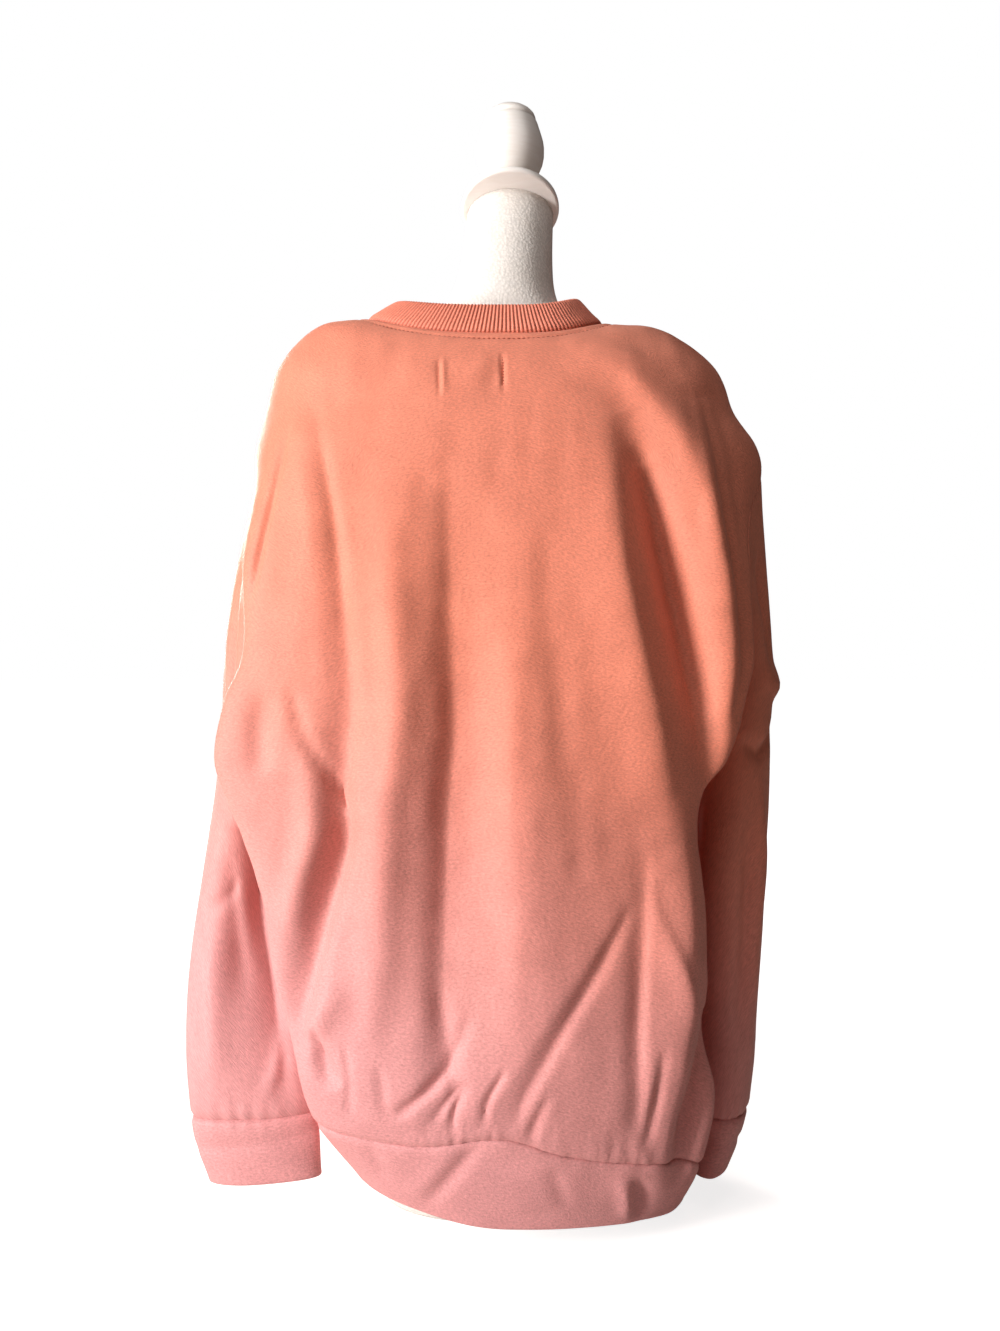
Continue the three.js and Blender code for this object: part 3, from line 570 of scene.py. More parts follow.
# A doubled band: the outer side up to its folded edge, round the fold, and down the inner side
def doubledBand(outer, inward, wall, foldFirst, innerRows):
    if not foldFirst:
        outer, inward = outer[::-1], inward[::-1]
    fromFold = runningLength(outer, 0)
    half = wall / 2
    reach = np.clip(1 - fromFold / half, 0, 1)
    halfThick = (half * np.sqrt(np.maximum(1 - reach**2, 0)))[..., None]
    front = outer + inward * (half - halfThick)
    back = outer + inward * (half + halfThick)
    picked = np.unique(np.linspace(1, len(outer) - 1, innerRows).round().astype(int))
    return np.concatenate([front, back[picked[::-1]]], 0), fromFold, len(outer)


def turnIntoMesh(piece):
    bpy.context.view_layer.update()
    evaluated = piece.evaluated_get(bpy.context.evaluated_depsgraph_get())
    finished = bpy.data.meshes.new_from_object(evaluated)
    piece.modifiers.clear()
    piece.data = finished


def giveThickness(piece, wall):
    shell = piece.modifiers.new("wall", "SOLIDIFY")
    shell.thickness = wall / 1000
    shell.offset = -1
    shell.use_even_offset = False
    turnIntoMesh(piece)
    piece.data.set_sharp_from_angle(angle=math.radians(60))  # cut edges stay crisp


# Front and back panels
panelLook = {
    "backColumns": 214,
    "frontColumns": 130,
    "rowsBelow": 112,
    "rowsAtArmhole": 44,
    "rowsAbove": 62,
    "seamDip": 2.0,  # the turned-in edge of a seam
    "seamDipWidth": 2.8,
    "sideDipShare": 0.25,  # side and armhole seams are pressed flatter
    "coverStitchFrom": 10.0,  # stitch line's distance below the neck seam
    "stitchSink": 1.1,
    "stitchSinkWidth": 1.5,
    "gatherRise": 1.5,
    "unevenFrom": 9.0,  # cloth lies even this near a seam
    "backSeed": 11,
    "frontSeed": 12,
}
# Where the hem seam gathers the cloth, across the panel
backGathers = [-72, -62, -53, -44, -35, -25, -16, -7, 26, 33, 41, 66, 74, 81, 88, 97, 106]
frontGathers = [-104, -92, -70, -52, -44, -20, -8, 6, 18, 44, 58, 66, 84, 98, 112]
# Finer columns on the back: their place as a share from the left, spread, and how much finer
fineColumns = [(0.434, 0.010, 2.6), (0.498, 0.012, 2.6), (0.32, 0.05, 0.25), (0.66, 0.06, 0.4)]
# Uneven cloth between the folds: rise, cell, and how it is squeezed across and up
unevenCloth = [(0.55, 34, 1, 1), (0.28, 13, 1, 1), (0.35, 26, 2.2, 0.7)]


def armholeWidth(level):
    share = np.clip((level - underarm) / (armholeTop - underarm), 0, 1)
    return bodyLook["armholeHalfAngle"] * np.sin(math.pi * share) ** bodyLook["armholePower"]


def foldedBody(angle, level):
    p = plainBody(angle, level)
    facing = np.sin(angle)
    fade = smoothStep(0.12, 0.5, np.abs(facing)) * smoothStep(0, hemSeam + 0.5, level)
    fade = fade * (1 - smoothStep(neckSeam - 1.2, neckSeam - 0.2, level))
    back = foldRise(backFolds + backPleats, p[..., 0], p[..., 2]) if (facing < 0).any() else 0
    front = foldRise(frontFolds, p[..., 0], p[..., 2]) if (facing >= 0).any() else 0
    rise = np.where(facing < 0, back, front) * fade
    return p + plainNormal(angle, level) * rise[..., None]


def edgeDip(distance):
    return -panelLook["seamDip"] * np.exp(-((distance / panelLook["seamDipWidth"]) ** 2))


# Columns close up where the label's tacking and the sharp folds run
def columnShares(columns, isBack):
    fine = np.linspace(0, 1, 2001)
    density = np.ones_like(fine)
    if isBack:
        for place, width, extra in fineColumns:
            density += extra * np.exp(-(((fine - place) / width) ** 2))
    reached = np.concatenate([[0], np.cumsum((density[1:] + density[:-1]) / 2)])
    return np.interp(np.linspace(0, reached[-1], columns + 1), reached, fine)


def panelGrid(isBack):
    columns = panelLook["backColumns"] if isBack else panelLook["frontColumns"]
    levels = np.concatenate(
        [
            np.linspace(hemSeam, underarm, panelLook["rowsBelow"], endpoint=False),
            np.linspace(underarm, armholeTop, panelLook["rowsAtArmhole"], endpoint=False),
            np.linspace(armholeTop, neckSeam, panelLook["rowsAbove"]),
        ]
    )
    edge = armholeWidth(levels)[:, None]
    share = columnShares(columns, isBack)[None]
    angle = (math.pi if isBack else 0) + math.pi * share + edge * ((1 - share) ** 4 - share**4)
    level = np.broadcast_to(levels[:, None], angle.shape)
    grid = foldedBody(angle, level)
    x, z = grid[..., 0], grid[..., 2]
    fromLeft = runningLength(grid, 1)
    fromRight = fromLeft[:, -1:] - fromLeft
    fromHem = runningLength(grid, 0)
    fromNeck = fromHem[-1:] - fromHem
    rise = panelLook["sideDipShare"] * (edgeDip(fromLeft) + edgeDip(fromRight))
    rise = rise + edgeDip(fromHem) + edgeDip(fromNeck)
    # Cloth drawn in at the hem seam puckers in short uneven gathers
    seed = panelLook["backSeed" if isBack else "frontSeed"]
    rng = np.random.default_rng(seed)
    for spot in backGathers if isBack else frontGathers:
        width, tall = rng.uniform(2.6, 4.4), rng.uniform(10, 24)
        lean = rng.uniform(-0.25, 0.25)
        away = (x - spot - lean * fromHem) / width
        rise += rng.uniform(0.6, 1.0) * panelLook["gatherRise"] * np.exp(-(away**2) - (fromHem / tall) ** 2)
    uneven = np.zeros_like(x)
    for turn, (height, cell, squeezeX, squeezeZ) in enumerate(unevenCloth):
        uneven += height * softNoise(x * squeezeX, z * squeezeZ, cell, seed + 20 + turn)
    fromSeams = np.minimum(np.minimum(fromLeft, fromRight), np.minimum(fromHem, fromNeck))
    rise += uneven * smoothStep(0, panelLook["unevenFrom"], fromSeams)
    fromStitch = (fromNeck - panelLook["coverStitchFrom"]) / panelLook["stitchSinkWidth"]
    rise += -panelLook["stitchSink"] * np.exp(-(fromStitch**2))
    if isBack:
        rise += foldRise(labelMarks, x, z)
    return grid + gridNormals(grid, False) * rise[..., None]


backPanel = gridObject("back_panel_cloth", panelGrid(True), False, fleeceJersey)
frontPanel = gridObject("front_panel_cloth", panelGrid(False), False, fleeceJersey)
for panel in (backPanel, frontPanel):
    giveThickness(panel, bodyLook["wall"])
print("panels made")


# Sleeves and cuffs
sleeveColumns = "z tilt x y halfWidth halfDepth".split()
leftSleeveSections = np.array(
    [
        [536, 80, -202, -2, 16, 68],
        [476, 62, -213, 13, 23, 51],
        [415, 38, -215, 14, 32, 50],
        [350, 16, -218, 13, 34, 50],
        [268, 5, -222, -4, 40, 45],
        [180, 0, -220, -24, 50, 33],
        [82, -2, -208, -46, 52, 16],  # cuff seam
        [30, -3, -197, -51, 46, 12.5],  # cuff edge
    ],
    float,
)
rightSleeveSections = np.array(
    [
        [538, 80, 203, 0, 17, 68],
        [478, 60, 207, 11, 20, 53],
        [415, 36, 202, 12, 31, 52],
        [350, 16, 198, 12, 32, 52],
        [262, 5, 193, 8, 33, 50],
        [170, 0, 189, 4, 30, 48],
        [76, 1, 182, -2, 26, 47],  # cuff seam
        [28, 6, 172, -3, 18, 46],  # cuff edge
    ],
    float,
)
cuffSeam, cuffEdge = 6, 7
sleeveLook = {
    "columns": 132,
    "sleeveRows": 130,
    "cuffRows": 22,
    "cuffInnerRows": 12,
    "mmPerDegree": 0.8,
    "mmLong": 470,
    "joinedLevels": 1.4,  # the cap blends into its armhole over this many sections
    "seamReach": 3.0,
    "lapLong": 0.5,  # the sleeve's edge laps over the body's cut edge, as a share of a row
    "lapHigh": 0.5,
    "waverRise": 0.6,
    "gathers": 19,
    "gatherRise": 0.6,
    "gatherReach": 12.0,
    "cuffGatherRise": 0.4,
    "cuffGatherReach": 8.0,
    "cuffWaver": 0.35,
    "cuffCreaseFrom": 20.0,  # a crease round the back of the cuff, below its seam
    "cuffCreaseDeep": 1.6,
    "cuffCreaseWidth": 4.0,
    "leftSeed": 60,
    "rightSeed": 61,
}
# Folds of a sleeve: path as (degrees round, share along), 0 degrees at the back and 90 outside
leftSleeveFolds = [
    ([(52, 0.12), (40, 0.28), (22, 0.4)], 10, 9, -6),
    ([(70, 0.3), (56, 0.42), (30, 0.5)], 9, 9, -4),
    ([(-40, 0.56), (0, 0.573), (44, 0.565)], 5, 4, -3),
    ([(-34, 0.48), (-38, 0.62), (-42, 0.78), (-34, 0.94)], 10, 56, -19),
    ([(22, 0.62), (10, 0.70), (0, 0.77), (-4, 0.84)], 9, 10, -3),
    ([(60, 0.72), (30, 0.70), (4, 0.66)], 5, 6, -2.5),
    ([(30, 0.74), (26, 0.84), (28, 0.94)], 12, 10, 4),
    ([(-44, 0.88), (-30, 0.93), (-14, 0.97)], 5, 5, 2.5),
    ([(-70, 0.2), (-90, 0.4), (-80, 0.6)], 14, 12, -5),
    ([(150, 0.2), (140, 0.4), (152, 0.56)], 12, 12, -6),
    ([(180, 0.5), (196, 0.62), (190, 0.78)], 10, 10, -5),
    ([(120, 0.55), (128, 0.7), (118, 0.86)], 10, 12, 4),
    ([(100, 0.66), (92, 0.78), (98, 0.92)], 8, 8, -3),
]
rightSleeveFolds = [
    ([(30, 0.1), (44, 0.22), (58, 0.32)], 10, 10, -8),
    ([(20, 0.3), (56, 0.36), (84, 0.34)], 9, 9, 6),
    ([(-10, 0.4), (30, 0.46), (70, 0.44)], 7, 8, -6),
    ([(24, 0.5), (36, 0.62), (30, 0.76), (36, 0.92)], 10, 9, 5),
    ([(10, 0.56), (14, 0.7), (6, 0.86)], 9, 9, -5),
    ([(62, 0.6), (56, 0.74), (64, 0.9)], 8, 9, -4),
    ([(130, 0.36), (124, 0.52), (134, 0.7)], 12, 11, -6),
    ([(160, 0.6), (170, 0.74), (162, 0.9)], 10, 10, -4),
    ([(-60, 0.3), (-80, 0.5), (-70, 0.7)], 12, 12, -4),
    ([(100, 0.5), (104, 0.64), (96, 0.82)], 9, 9, 4),
]


def armholeLoop(isRight, count):
    half = count // 2
    share = np.arange(count) / half
    side = np.where(share <= 1, 1.0, -1.0)
    share = np.where(share <= 1, share, 2 - share)
    share = (share + (1 - np.cos(math.pi * share)) / 2) / 2
    level = underarm + share * (armholeTop - underarm)
    middle = 2 * math.pi if isRight else math.pi
    angle = middle + side * (-1 if isRight else 1) * armholeWidth(level)
    return foldedBody(angle, level), plainNormal(angle, level)


def sleeveSurface(isRight, levels):
    count = sleeveLook["columns"]
    sections = rightSleeveSections if isRight else leftSleeveSections
    around = 2 * math.pi * np.arange(count) / count - math.pi / 2
    across = np.sin(around)
    outward = 1 if isRight else -1

    def plain(level):
        s = dict(zip(sleeveColumns, np.moveaxis(sectionAt(sections, level), -1, 0)))
        return np.stack(
            [
                s["x"] + outward * s["halfWidth"] * across,
                s["y"] - s["halfDepth"] * np.cos(around),
                s["z"] + s["tilt"] * across,
            ],
            -1,
        )

    loop, loopNormals = armholeLoop(isRight, count)
    joining = loop - plain(np.zeros(count))
    joined = sleeveLook["joinedLevels"]
    rows = [plain(np.full(count, level)) + joining * (1 - smoothStep(0, joined, level)) for level in levels]
    return np.stack(rows), np.degrees(around), loopNormals


def sleeveGrids(isRight):
    levels = np.linspace(0, cuffSeam, sleeveLook["sleeveRows"])
    grid, degrees, loopNormals = sleeveSurface(isRight, levels)
    along = np.broadcast_to((levels / cuffSeam)[:, None], grid.shape[:2])
    turn = np.broadcast_to(np.where(degrees > 180, degrees - 360, degrees)[None], along.shape)
    scaleU, scaleV = sleeveLook["mmPerDegree"], sleeveLook["mmLong"]
    folds = [
        ([(a * scaleU, -b * scaleV) for a, b in path], left, right, rise)
        for path, left, right, rise in (rightSleeveFolds if isRight else leftSleeveFolds)
    ]
    fade = smoothStep(0, 0.1, along) * (1 - smoothStep(0.95, 1.0, along))
    rise = np.zeros_like(along)
    for shift in (-360, 0, 360):
        rise = rise + foldRise(folds, (turn + shift) * scaleU, -along * scaleV)
    fromTop = runningLength(grid, 0)
    fromCuff = fromTop[-1:] - fromTop
    outward = -1 if isRight else 1
    seed = sleeveLook["rightSeed" if isRight else "leftSeed"]
    wave = np.radians(degrees)[None]
    waver = 0.5 * np.sin(3 * wave + along * 21 + seed) + 0.4 * np.sin(5 * wave - along * 33)
    rise = fade * (rise + sleeveLook["waverRise"] * waver)
    rise = rise + panelLook["sideDipShare"] * edgeDip(fromTop) + edgeDip(fromCuff)
    pucker = np.sin(sleeveLook["gathers"] * wave + 2 * np.sin(3 * wave))
    pucker = pucker * (0.5 + 0.5 * np.sin(2 * wave + 1))
    rise += sleeveLook["gatherRise"] * pucker * np.exp(-((fromCuff / sleeveLook["gatherReach"]) ** 2))
    normals = gridNormals(grid, True) * outward
    # The two edges sewn together move as one
    atSeam = np.exp(-((fromTop / sleeveLook["seamReach"]) ** 2))[..., None]
    normals = normals + (loopNormals[None] - normals) * atSeam
    sleeve = grid + normals * rise[..., None]
    sleeve[0] += sleeveLook["lapLong"] * (sleeve[0] - sleeve[1]) + sleeveLook["lapHigh"] * loopNormals
    return sleeve, cuffGridFor(isRight, wave, pucker, outward)


def cuffGridFor(isRight, wave, pucker, outward):
    levels = cuffEdge - np.linspace(1, 0, sleeveLook["cuffRows"]) ** 1.5
    cuff, _, _ = sleeveSurface(isRight, levels)
    fromSeam = runningLength(cuff, 0)
    rise = edgeDip(fromSeam) + sleeveLook["cuffWaver"] * np.sin(4 * wave + fromSeam / 9)
    nearSeam = np.exp(-((fromSeam / sleeveLook["cuffGatherReach"]) ** 2))
    rise = rise + sleeveLook["cuffGatherRise"] * nearSeam * pucker
    fromCrease = (fromSeam - sleeveLook["cuffCreaseFrom"] - 5 * np.sin(wave)) / sleeveLook["cuffCreaseWidth"]
    behind = smoothStep(-0.2, 0.6, np.cos(wave))
    rise = rise - sleeveLook["cuffCreaseDeep"] * np.exp(-(fromCrease**2)) * behind
    cuff = cuff + gridNormals(cuff, True) * outward * rise[..., None]
    inward = -outward * gridNormals(cuff, True)
    return doubledBand(cuff, inward, bodyLook["bandWall"], False, sleeveLook["cuffInnerRows"])[0]


sleevePieces = {}
for sideName, isRight in (("left", False), ("right", True)):
    sleeveGrid, cuffGrid = sleeveGrids(isRight)
    sleeve = gridObject(sideName + "_sleeve_cloth", sleeveGrid, True, fleeceJersey, flip=isRight)
    cuff = gridObject(sideName + "_cuff_cloth", cuffGrid, True, bandKnit, flip=not isRight, closedRows=True)
    giveThickness(sleeve, bodyLook["wall"])
    sleevePieces[sideName] = (sleeve, cuff)
print("sleeves and cuffs made")


# Hem band
hemLook = {
    "columns": 300,
    "rows": 34,
    "innerRows": 14,
    "waver": 0.45,
    "waverCell": 24,
    "waverSeed": 81,
    "gathers": 57,
    "gatherRise": 0.35,
    "gatherReach": 7.0,
}
hemCreases = [
    ([(-19, 96), (-38, 70), (-60, 40)], 9, 5, -3.2),
    ([(-30, 92), (-52, 66), (-72, 44)], 8, 8, 1.6),
    ([(20, 80), (22, 60), (24, 36)], 26, 20, 2.2),
    ([(88, 62), (92, 44), (93, 24)], 6, 4, 3.2),
    ([(99, 60), (102, 42), (103, 22)], 5, 8, -3.6),
    ([(34, 74), (40, 56), (46, 40)], 7, 5, -1.6),
    ([(-108, 92), (-100, 72), (-94, 56)], 6, 6, -1.5),
]
frontCreases = [
    ([(-40, 86), (-30, 60), (-28, 34)], 7, 7, -2.2),
    ([(52, 84), (60, 60), (74, 36)], 8, 5, -2.6),
    ([(100, 76), (96, 52), (98, 32)], 6, 6, 1.8),
    ([(-96, 86), (-102, 62), (-100, 42)], 6, 6, 1.6),
]
hemAngle = np.linspace(0, 2 * math.pi, hemLook["columns"], endpoint=False)[None]
hemLevel = (np.linspace(0, 1, hemLook["rows"]) ** 1.5 * hemSeam)[:, None]
hemAngle, hemLevel = np.broadcast_arrays(hemAngle, hemLevel)
hemGrid = foldedBody(hemAngle, hemLevel)
fromEdge = runningLength(hemGrid, 0)
fromSeam = fromEdge[-1:] - fromEdge
isBehind = smoothStep(0.05, 0.4, -np.sin(hemAngle))
isBefore = smoothStep(0.05, 0.4, np.sin(hemAngle))
hemRise = isBehind * foldRise(hemCreases, hemGrid[..., 0], hemGrid[..., 2])
hemRise = hemRise + isBefore * foldRise(frontCreases, hemGrid[..., 0], hemGrid[..., 2])
hemRise = hemRise + edgeDip(fromSeam)
hemWaver = softNoise(
    hemGrid[..., 0] + hemGrid[..., 1], hemGrid[..., 2], hemLook["waverCell"], hemLook["waverSeed"]
)
hemRise = hemRise + hemLook["waver"] * hemWaver
hemGathers = np.sin(hemLook["gathers"] * hemAngle + 3 * np.sin(5 * hemAngle))
hemRise = hemRise + hemLook["gatherRise"] * hemGathers * np.exp(-((fromSeam / hemLook["gatherReach"]) ** 2))
hemGrid = hemGrid + gridNormals(hemGrid, True) * hemRise[..., None]
hemShell, _, _ = doubledBand(
    hemGrid, -gridNormals(hemGrid, True), bodyLook["bandWall"], True, hemLook["innerRows"]
)
hemBand = gridObject("hem_band_cloth", hemShell, True, bandKnit, closedRows=True)
print("hem band made")


# Neck rib, with its ribs raised in geometry nodes
ribLook = {
    "ribs": 186,
    "pointsPerRib": 6,
    "rows": 20,
    "innerRows": 7,
    "wall": 3.4,
    "rise": 1.1,
    "crownPower": 0.7,  # rounder crowns than a plain wave
    "bulge": 1.2,
    "seamDipShare": 0.8,
    "foldFade": 0.8,  # how much the ribs sink at the fold and at the seam, and over what reach
    "foldReach": 1.2,
    "seamFade": 0.6,
    "seamReach": 1.4,
}


def newNodeTree(name, sockets):
    made = bpy.data.node_groups.new(name, "GeometryNodeTree")
    for label, kind in {"Geometry": "Geometry", **sockets}.items():
        made.interface.new_socket(label, in_out="INPUT", socket_type="NodeSocket" + kind)
    made.interface.new_socket("Geometry", in_out="OUTPUT", socket_type="NodeSocketGeometry")
    return made, addNode(made, "NodeGroupInput").outputs


def ribTree():
    tree, given = newNodeTree("raisedRibs", {"ribs": "Float", "rise": "Float", "cloth": "Material"})
    around = addNode(
        tree, "GeometryNodeInputNamedAttribute", {"Name": "around"}, data_type="FLOAT"
    ).outputs[0]
    reach = addNode(tree, "GeometryNodeInputNamedAttribute", {"Name": "reach"}, data_type="FLOAT").outputs[0]
    turns = addNode(tree, "ShaderNodeMath", {0: around, 1: given["ribs"]}, operation="MULTIPLY").outputs[0]
    phase = addNode(tree, "ShaderNodeMath", {0: turns, 1: 2 * math.pi}, operation="MULTIPLY").outputs[0]
    wave = addNode(tree, "ShaderNodeMath", {0: phase}, operation="COSINE").outputs[0]
    rounded = addNode(tree, "ShaderNodeMath", {0: wave, 1: 0.5, 2: 0.5}, operation="MULTIPLY_ADD").outputs[0]
    profile = addNode(
        tree, "ShaderNodeMath", {0: rounded, 1: ribLook["crownPower"]}, operation="POWER"
    ).outputs[0]
    height = addNode(tree, "ShaderNodeMath", {0: profile, 1: given["rise"]}, operation="MULTIPLY").outputs[0]
    faded = addNode(tree, "ShaderNodeMath", {0: height, 1: reach}, operation="MULTIPLY").outputs[0]
    normal = addNode(tree, "GeometryNodeInputNormal").outputs[0]
    offset = addNode(tree, "ShaderNodeVectorMath", {0: normal, "Scale": faded}, operation="SCALE").outputs[0]
    moved = addNode(
        tree, "GeometryNodeSetPosition", {"Geometry": given["Geometry"], "Offset": offset}
    ).outputs[0]
    # the crown height is kept for the rib material's painted shade in the valleys and painted highlight on
    # the crowns
    ribShadeMask = addNode(tree, "ShaderNodeMath", {0: profile, 1: reach}, operation="MULTIPLY").outputs[0]
    moved = addNode(
        tree,
        "GeometryNodeStoreNamedAttribute",
        {"Geometry": moved, "Name": "ribShadeMask", "Value": ribShadeMask},
        data_type="FLOAT",
        domain="POINT",
    ).outputs[0]
    realized = addNode(tree, "GeometryNodeRealizeInstances", {0: moved}).outputs[0]
    dressed = addNode(
        tree, "GeometryNodeSetMaterial", {"Geometry": realized, "Material": given["cloth"]}
    ).outputs[0]
    addNode(tree, "NodeGroupOutput", {"Geometry": dressed})
    return tree


def setInputs(modifier, tree, values):
    for item in tree.interface.items_tree:
        if item.item_type == "SOCKET" and item.in_out == "INPUT" and item.name in values:
            modifier[item.identifier] = values[item.name]


ribColumns = ribLook["ribs"] * ribLook["pointsPerRib"]
fineAngle = np.linspace(0, 2 * math.pi, 4001)
fineRing = plainBody(fineAngle, np.full(fineAngle.shape, neckSeam + 0.5))
fineLength = np.concatenate([[0], np.cumsum(np.linalg.norm(np.diff(fineRing, axis=0), axis=1))])
ribShares = np.arange(ribColumns) / ribColumns
ribAngle = np.interp(ribShares * fineLength[-1], fineLength, fineAngle)[None]  # ribs evenly spaced
ribLevel = (ribTop - np.linspace(1, 0, ribLook["rows"]) ** 1.4)[:, None]
ribAngle, ribLevel = np.broadcast_arrays(ribAngle, ribLevel)
ribGrid = plainBody(ribAngle, ribLevel)
fromSeam = runningLength(ribGrid, 0)
ribShare = ribLevel - neckSeam
ribRise = edgeDip(fromSeam) * ribLook["seamDipShare"] + ribLook["bulge"] * np.sin(math.pi * ribShare)
ribGrid = ribGrid + gridNormals(ribGrid, True) * ribRise[..., None]
ribShell, fromFold, outerRows = doubledBand(
    ribGrid, -gridNormals(ribGrid, True), ribLook["wall"], False, ribLook["innerRows"]
)
ribReach = np.zeros(ribShell.shape[:2])
atFold = ribLook["foldFade"] * np.exp(-((fromFold / ribLook["foldReach"]) ** 2))
atSeam = ribLook["seamFade"] * np.exp(-((fromSeam[::-1] / ribLook["seamReach"]) ** 2))
ribReach[:outerRows] = 1 - atFold - atSeam
neckRib = gridObject(
    "neck_rib_cloth",
    ribShell,
    True,
    ribKnit,
    flip=True,
    attributes={"around": np.broadcast_to(ribShares[None], ribReach.shape), "reach": ribReach},
    closedRows=True,
)
tree = ribTree()
ribs = neckRib.modifiers.new("ribs", "NODES")
ribs.node_group = tree
setInputs(ribs, tree, {"ribs": float(ribLook["ribs"]), "rise": ribLook["rise"] / 1000, "cloth": ribKnit})
turnIntoMesh(neckRib)
print("neck rib made")


# Stitches
stitchLook = {
    "spacing": 4.0,
    "long": 2.4,
    "thick": 1.0,
    "tackSpacing": 2.6,
    "tackLong": 1.7,
    "seed": 5,
    "pathPoints": 400,
    "tackPoints": 24,
    "coverAway": -0.75,  # threads lie a little into the nap
    "tackAway": -1.6,
}


def stitchTree():
    sizes = {"spacing": "Float", "long": "Float", "thick": "Float", "seed": "Int", "thread": "Material"}
    tree, given = newNodeTree("stitchRow", sizes)
    path = addNode(tree, "GeometryNodeMeshToCurve", {"Mesh": given["Geometry"]}).outputs[0]
    spaced = addNode(
        tree, "GeometryNodeResampleCurve", {"Curve": path, "Length": given["spacing"]}, mode="LENGTH"
    ).outputs[0]
    tangent = addNode(tree, "GeometryNodeInputTangent").outputs[0]
    turned = addNode(tree, "FunctionNodeAlignRotationToVector", {"Vector": tangent}, axis="X").outputs[0]
    bead = addNode(tree, "GeometryNodeMeshIcoSphere", {"Radius": 0.5, "Subdivisions": 2}).outputs[0]
    size = addNode(
        tree, "ShaderNodeCombineXYZ", {0: given["long"], 1: given["thick"], 2: given["thick"]}
    ).outputs[0]
    vary = addNode(
        tree, "FunctionNodeRandomValue", {2: 0.85, 3: 1.12, "Seed": given["seed"]}, data_type="FLOAT"
    ).outputs[1]
    scaled = addNode(tree, "ShaderNodeVectorMath", {0: size, "Scale": vary}, operation="SCALE").outputs[0]
    laid = addNode(
        tree,
        "GeometryNodeInstanceOnPoints",
        {"Points": spaced, "Instance": bead, "Rotation": turned, "Scale": scaled},
    ).outputs[0]
    realized = addNode(tree, "GeometryNodeRealizeInstances", {0: laid}).outputs[0]
    smooth = addNode(tree, "GeometryNodeSetShadeSmooth", {0: realized}).outputs[0]
    dressed = addNode(
        tree, "GeometryNodeSetMaterial", {"Geometry": smooth, "Material": given["thread"]}
    ).outputs[0]
    addNode(tree, "NodeGroupOutput", {"Geometry": dressed})
    return tree


stitchRow = stitchTree()


def stitchLine(name, points, spacing, long, closed):
    mesh = bpy.data.meshes.new(name)
    count = len(points)
    edges = [(i, (i + 1) % count) for i in range(count if closed else count - 1)]
    mesh.from_pydata((np.asarray(points) / 1000).tolist(), edges, [])
    made = bpy.data.objects.new(name, mesh)
    bpy.context.collection.objects.link(made)
    row = made.modifiers.new("stitches", "NODES")
    row.node_group = stitchRow
    values = {
        "spacing": spacing / 1000,
        "long": long / 1000,
        "thick": stitchLook["thick"] / 1000,
        "seed": stitchLook["seed"],
        "thread": sewingThread,
    }
    setInputs(row, stitchRow, values)
    turnIntoMesh(made)
    return made


def onBody(angle, level, away):
    return foldedBody(angle, level) + plainNormal(angle, level) * np.asarray(away)[..., None]


stitchAngle = np.linspace(0, 2 * math.pi, stitchLook["pathPoints"], endpoint=False)
atNeck = np.full(stitchAngle.shape, float(neckSeam))
perLevel = np.linalg.norm(plainBody(stitchAngle, atNeck) - plainBody(stitchAngle, atNeck - 0.2), axis=1) / 0.2
stitchLevel = neckSeam - panelLook["coverStitchFrom"] / perLevel
coverStitch = stitchLine(
    "neck_cover_stitch",
    onBody(stitchAngle, stitchLevel, np.full(stitchAngle.shape, stitchLook["coverAway"])),
    stitchLook["spacing"],
    stitchLook["long"],
    True,
)


def tackLine(name, top, bottom):
    count = stitchLook["tackPoints"]
    share = np.linspace(0, 1, count)
    wantX = top[0] + (bottom[0] - top[0]) * share
    wantZ = top[1] + (bottom[1] - top[1]) * share
    angle, level = np.full(count, 1.5 * math.pi), np.full(count, 12.4)  # a first guess, under the rib
    step = 1e-3
    for _ in range(14):  # walk to the wanted place on the back
        p = foldedBody(angle, level)
        dx = (foldedBody(angle + step, level) - p)[:, 0] / step
        dz = (foldedBody(angle, level + step) - p)[:, 2] / step
        angle = angle + np.clip((wantX - p[:, 0]) / np.where(np.abs(dx) < 20, 20, dx), -0.2, 0.2)
        level = level + np.clip((wantZ - p[:, 2]) / np.where(np.abs(dz) < 4, 4, dz), -0.5, 0.5)
    points = onBody(angle, level, np.full(count, stitchLook["tackAway"]))
    return stitchLine(name, points, stitchLook["tackSpacing"], stitchLook["tackLong"], False)


leftTack = tackLine("left_tack_stitch", (-52, 694), (-50, 658))
rightTack = tackLine("right_tack_stitch", (-3.5, 696), (-2, 662))
print("stitches made")


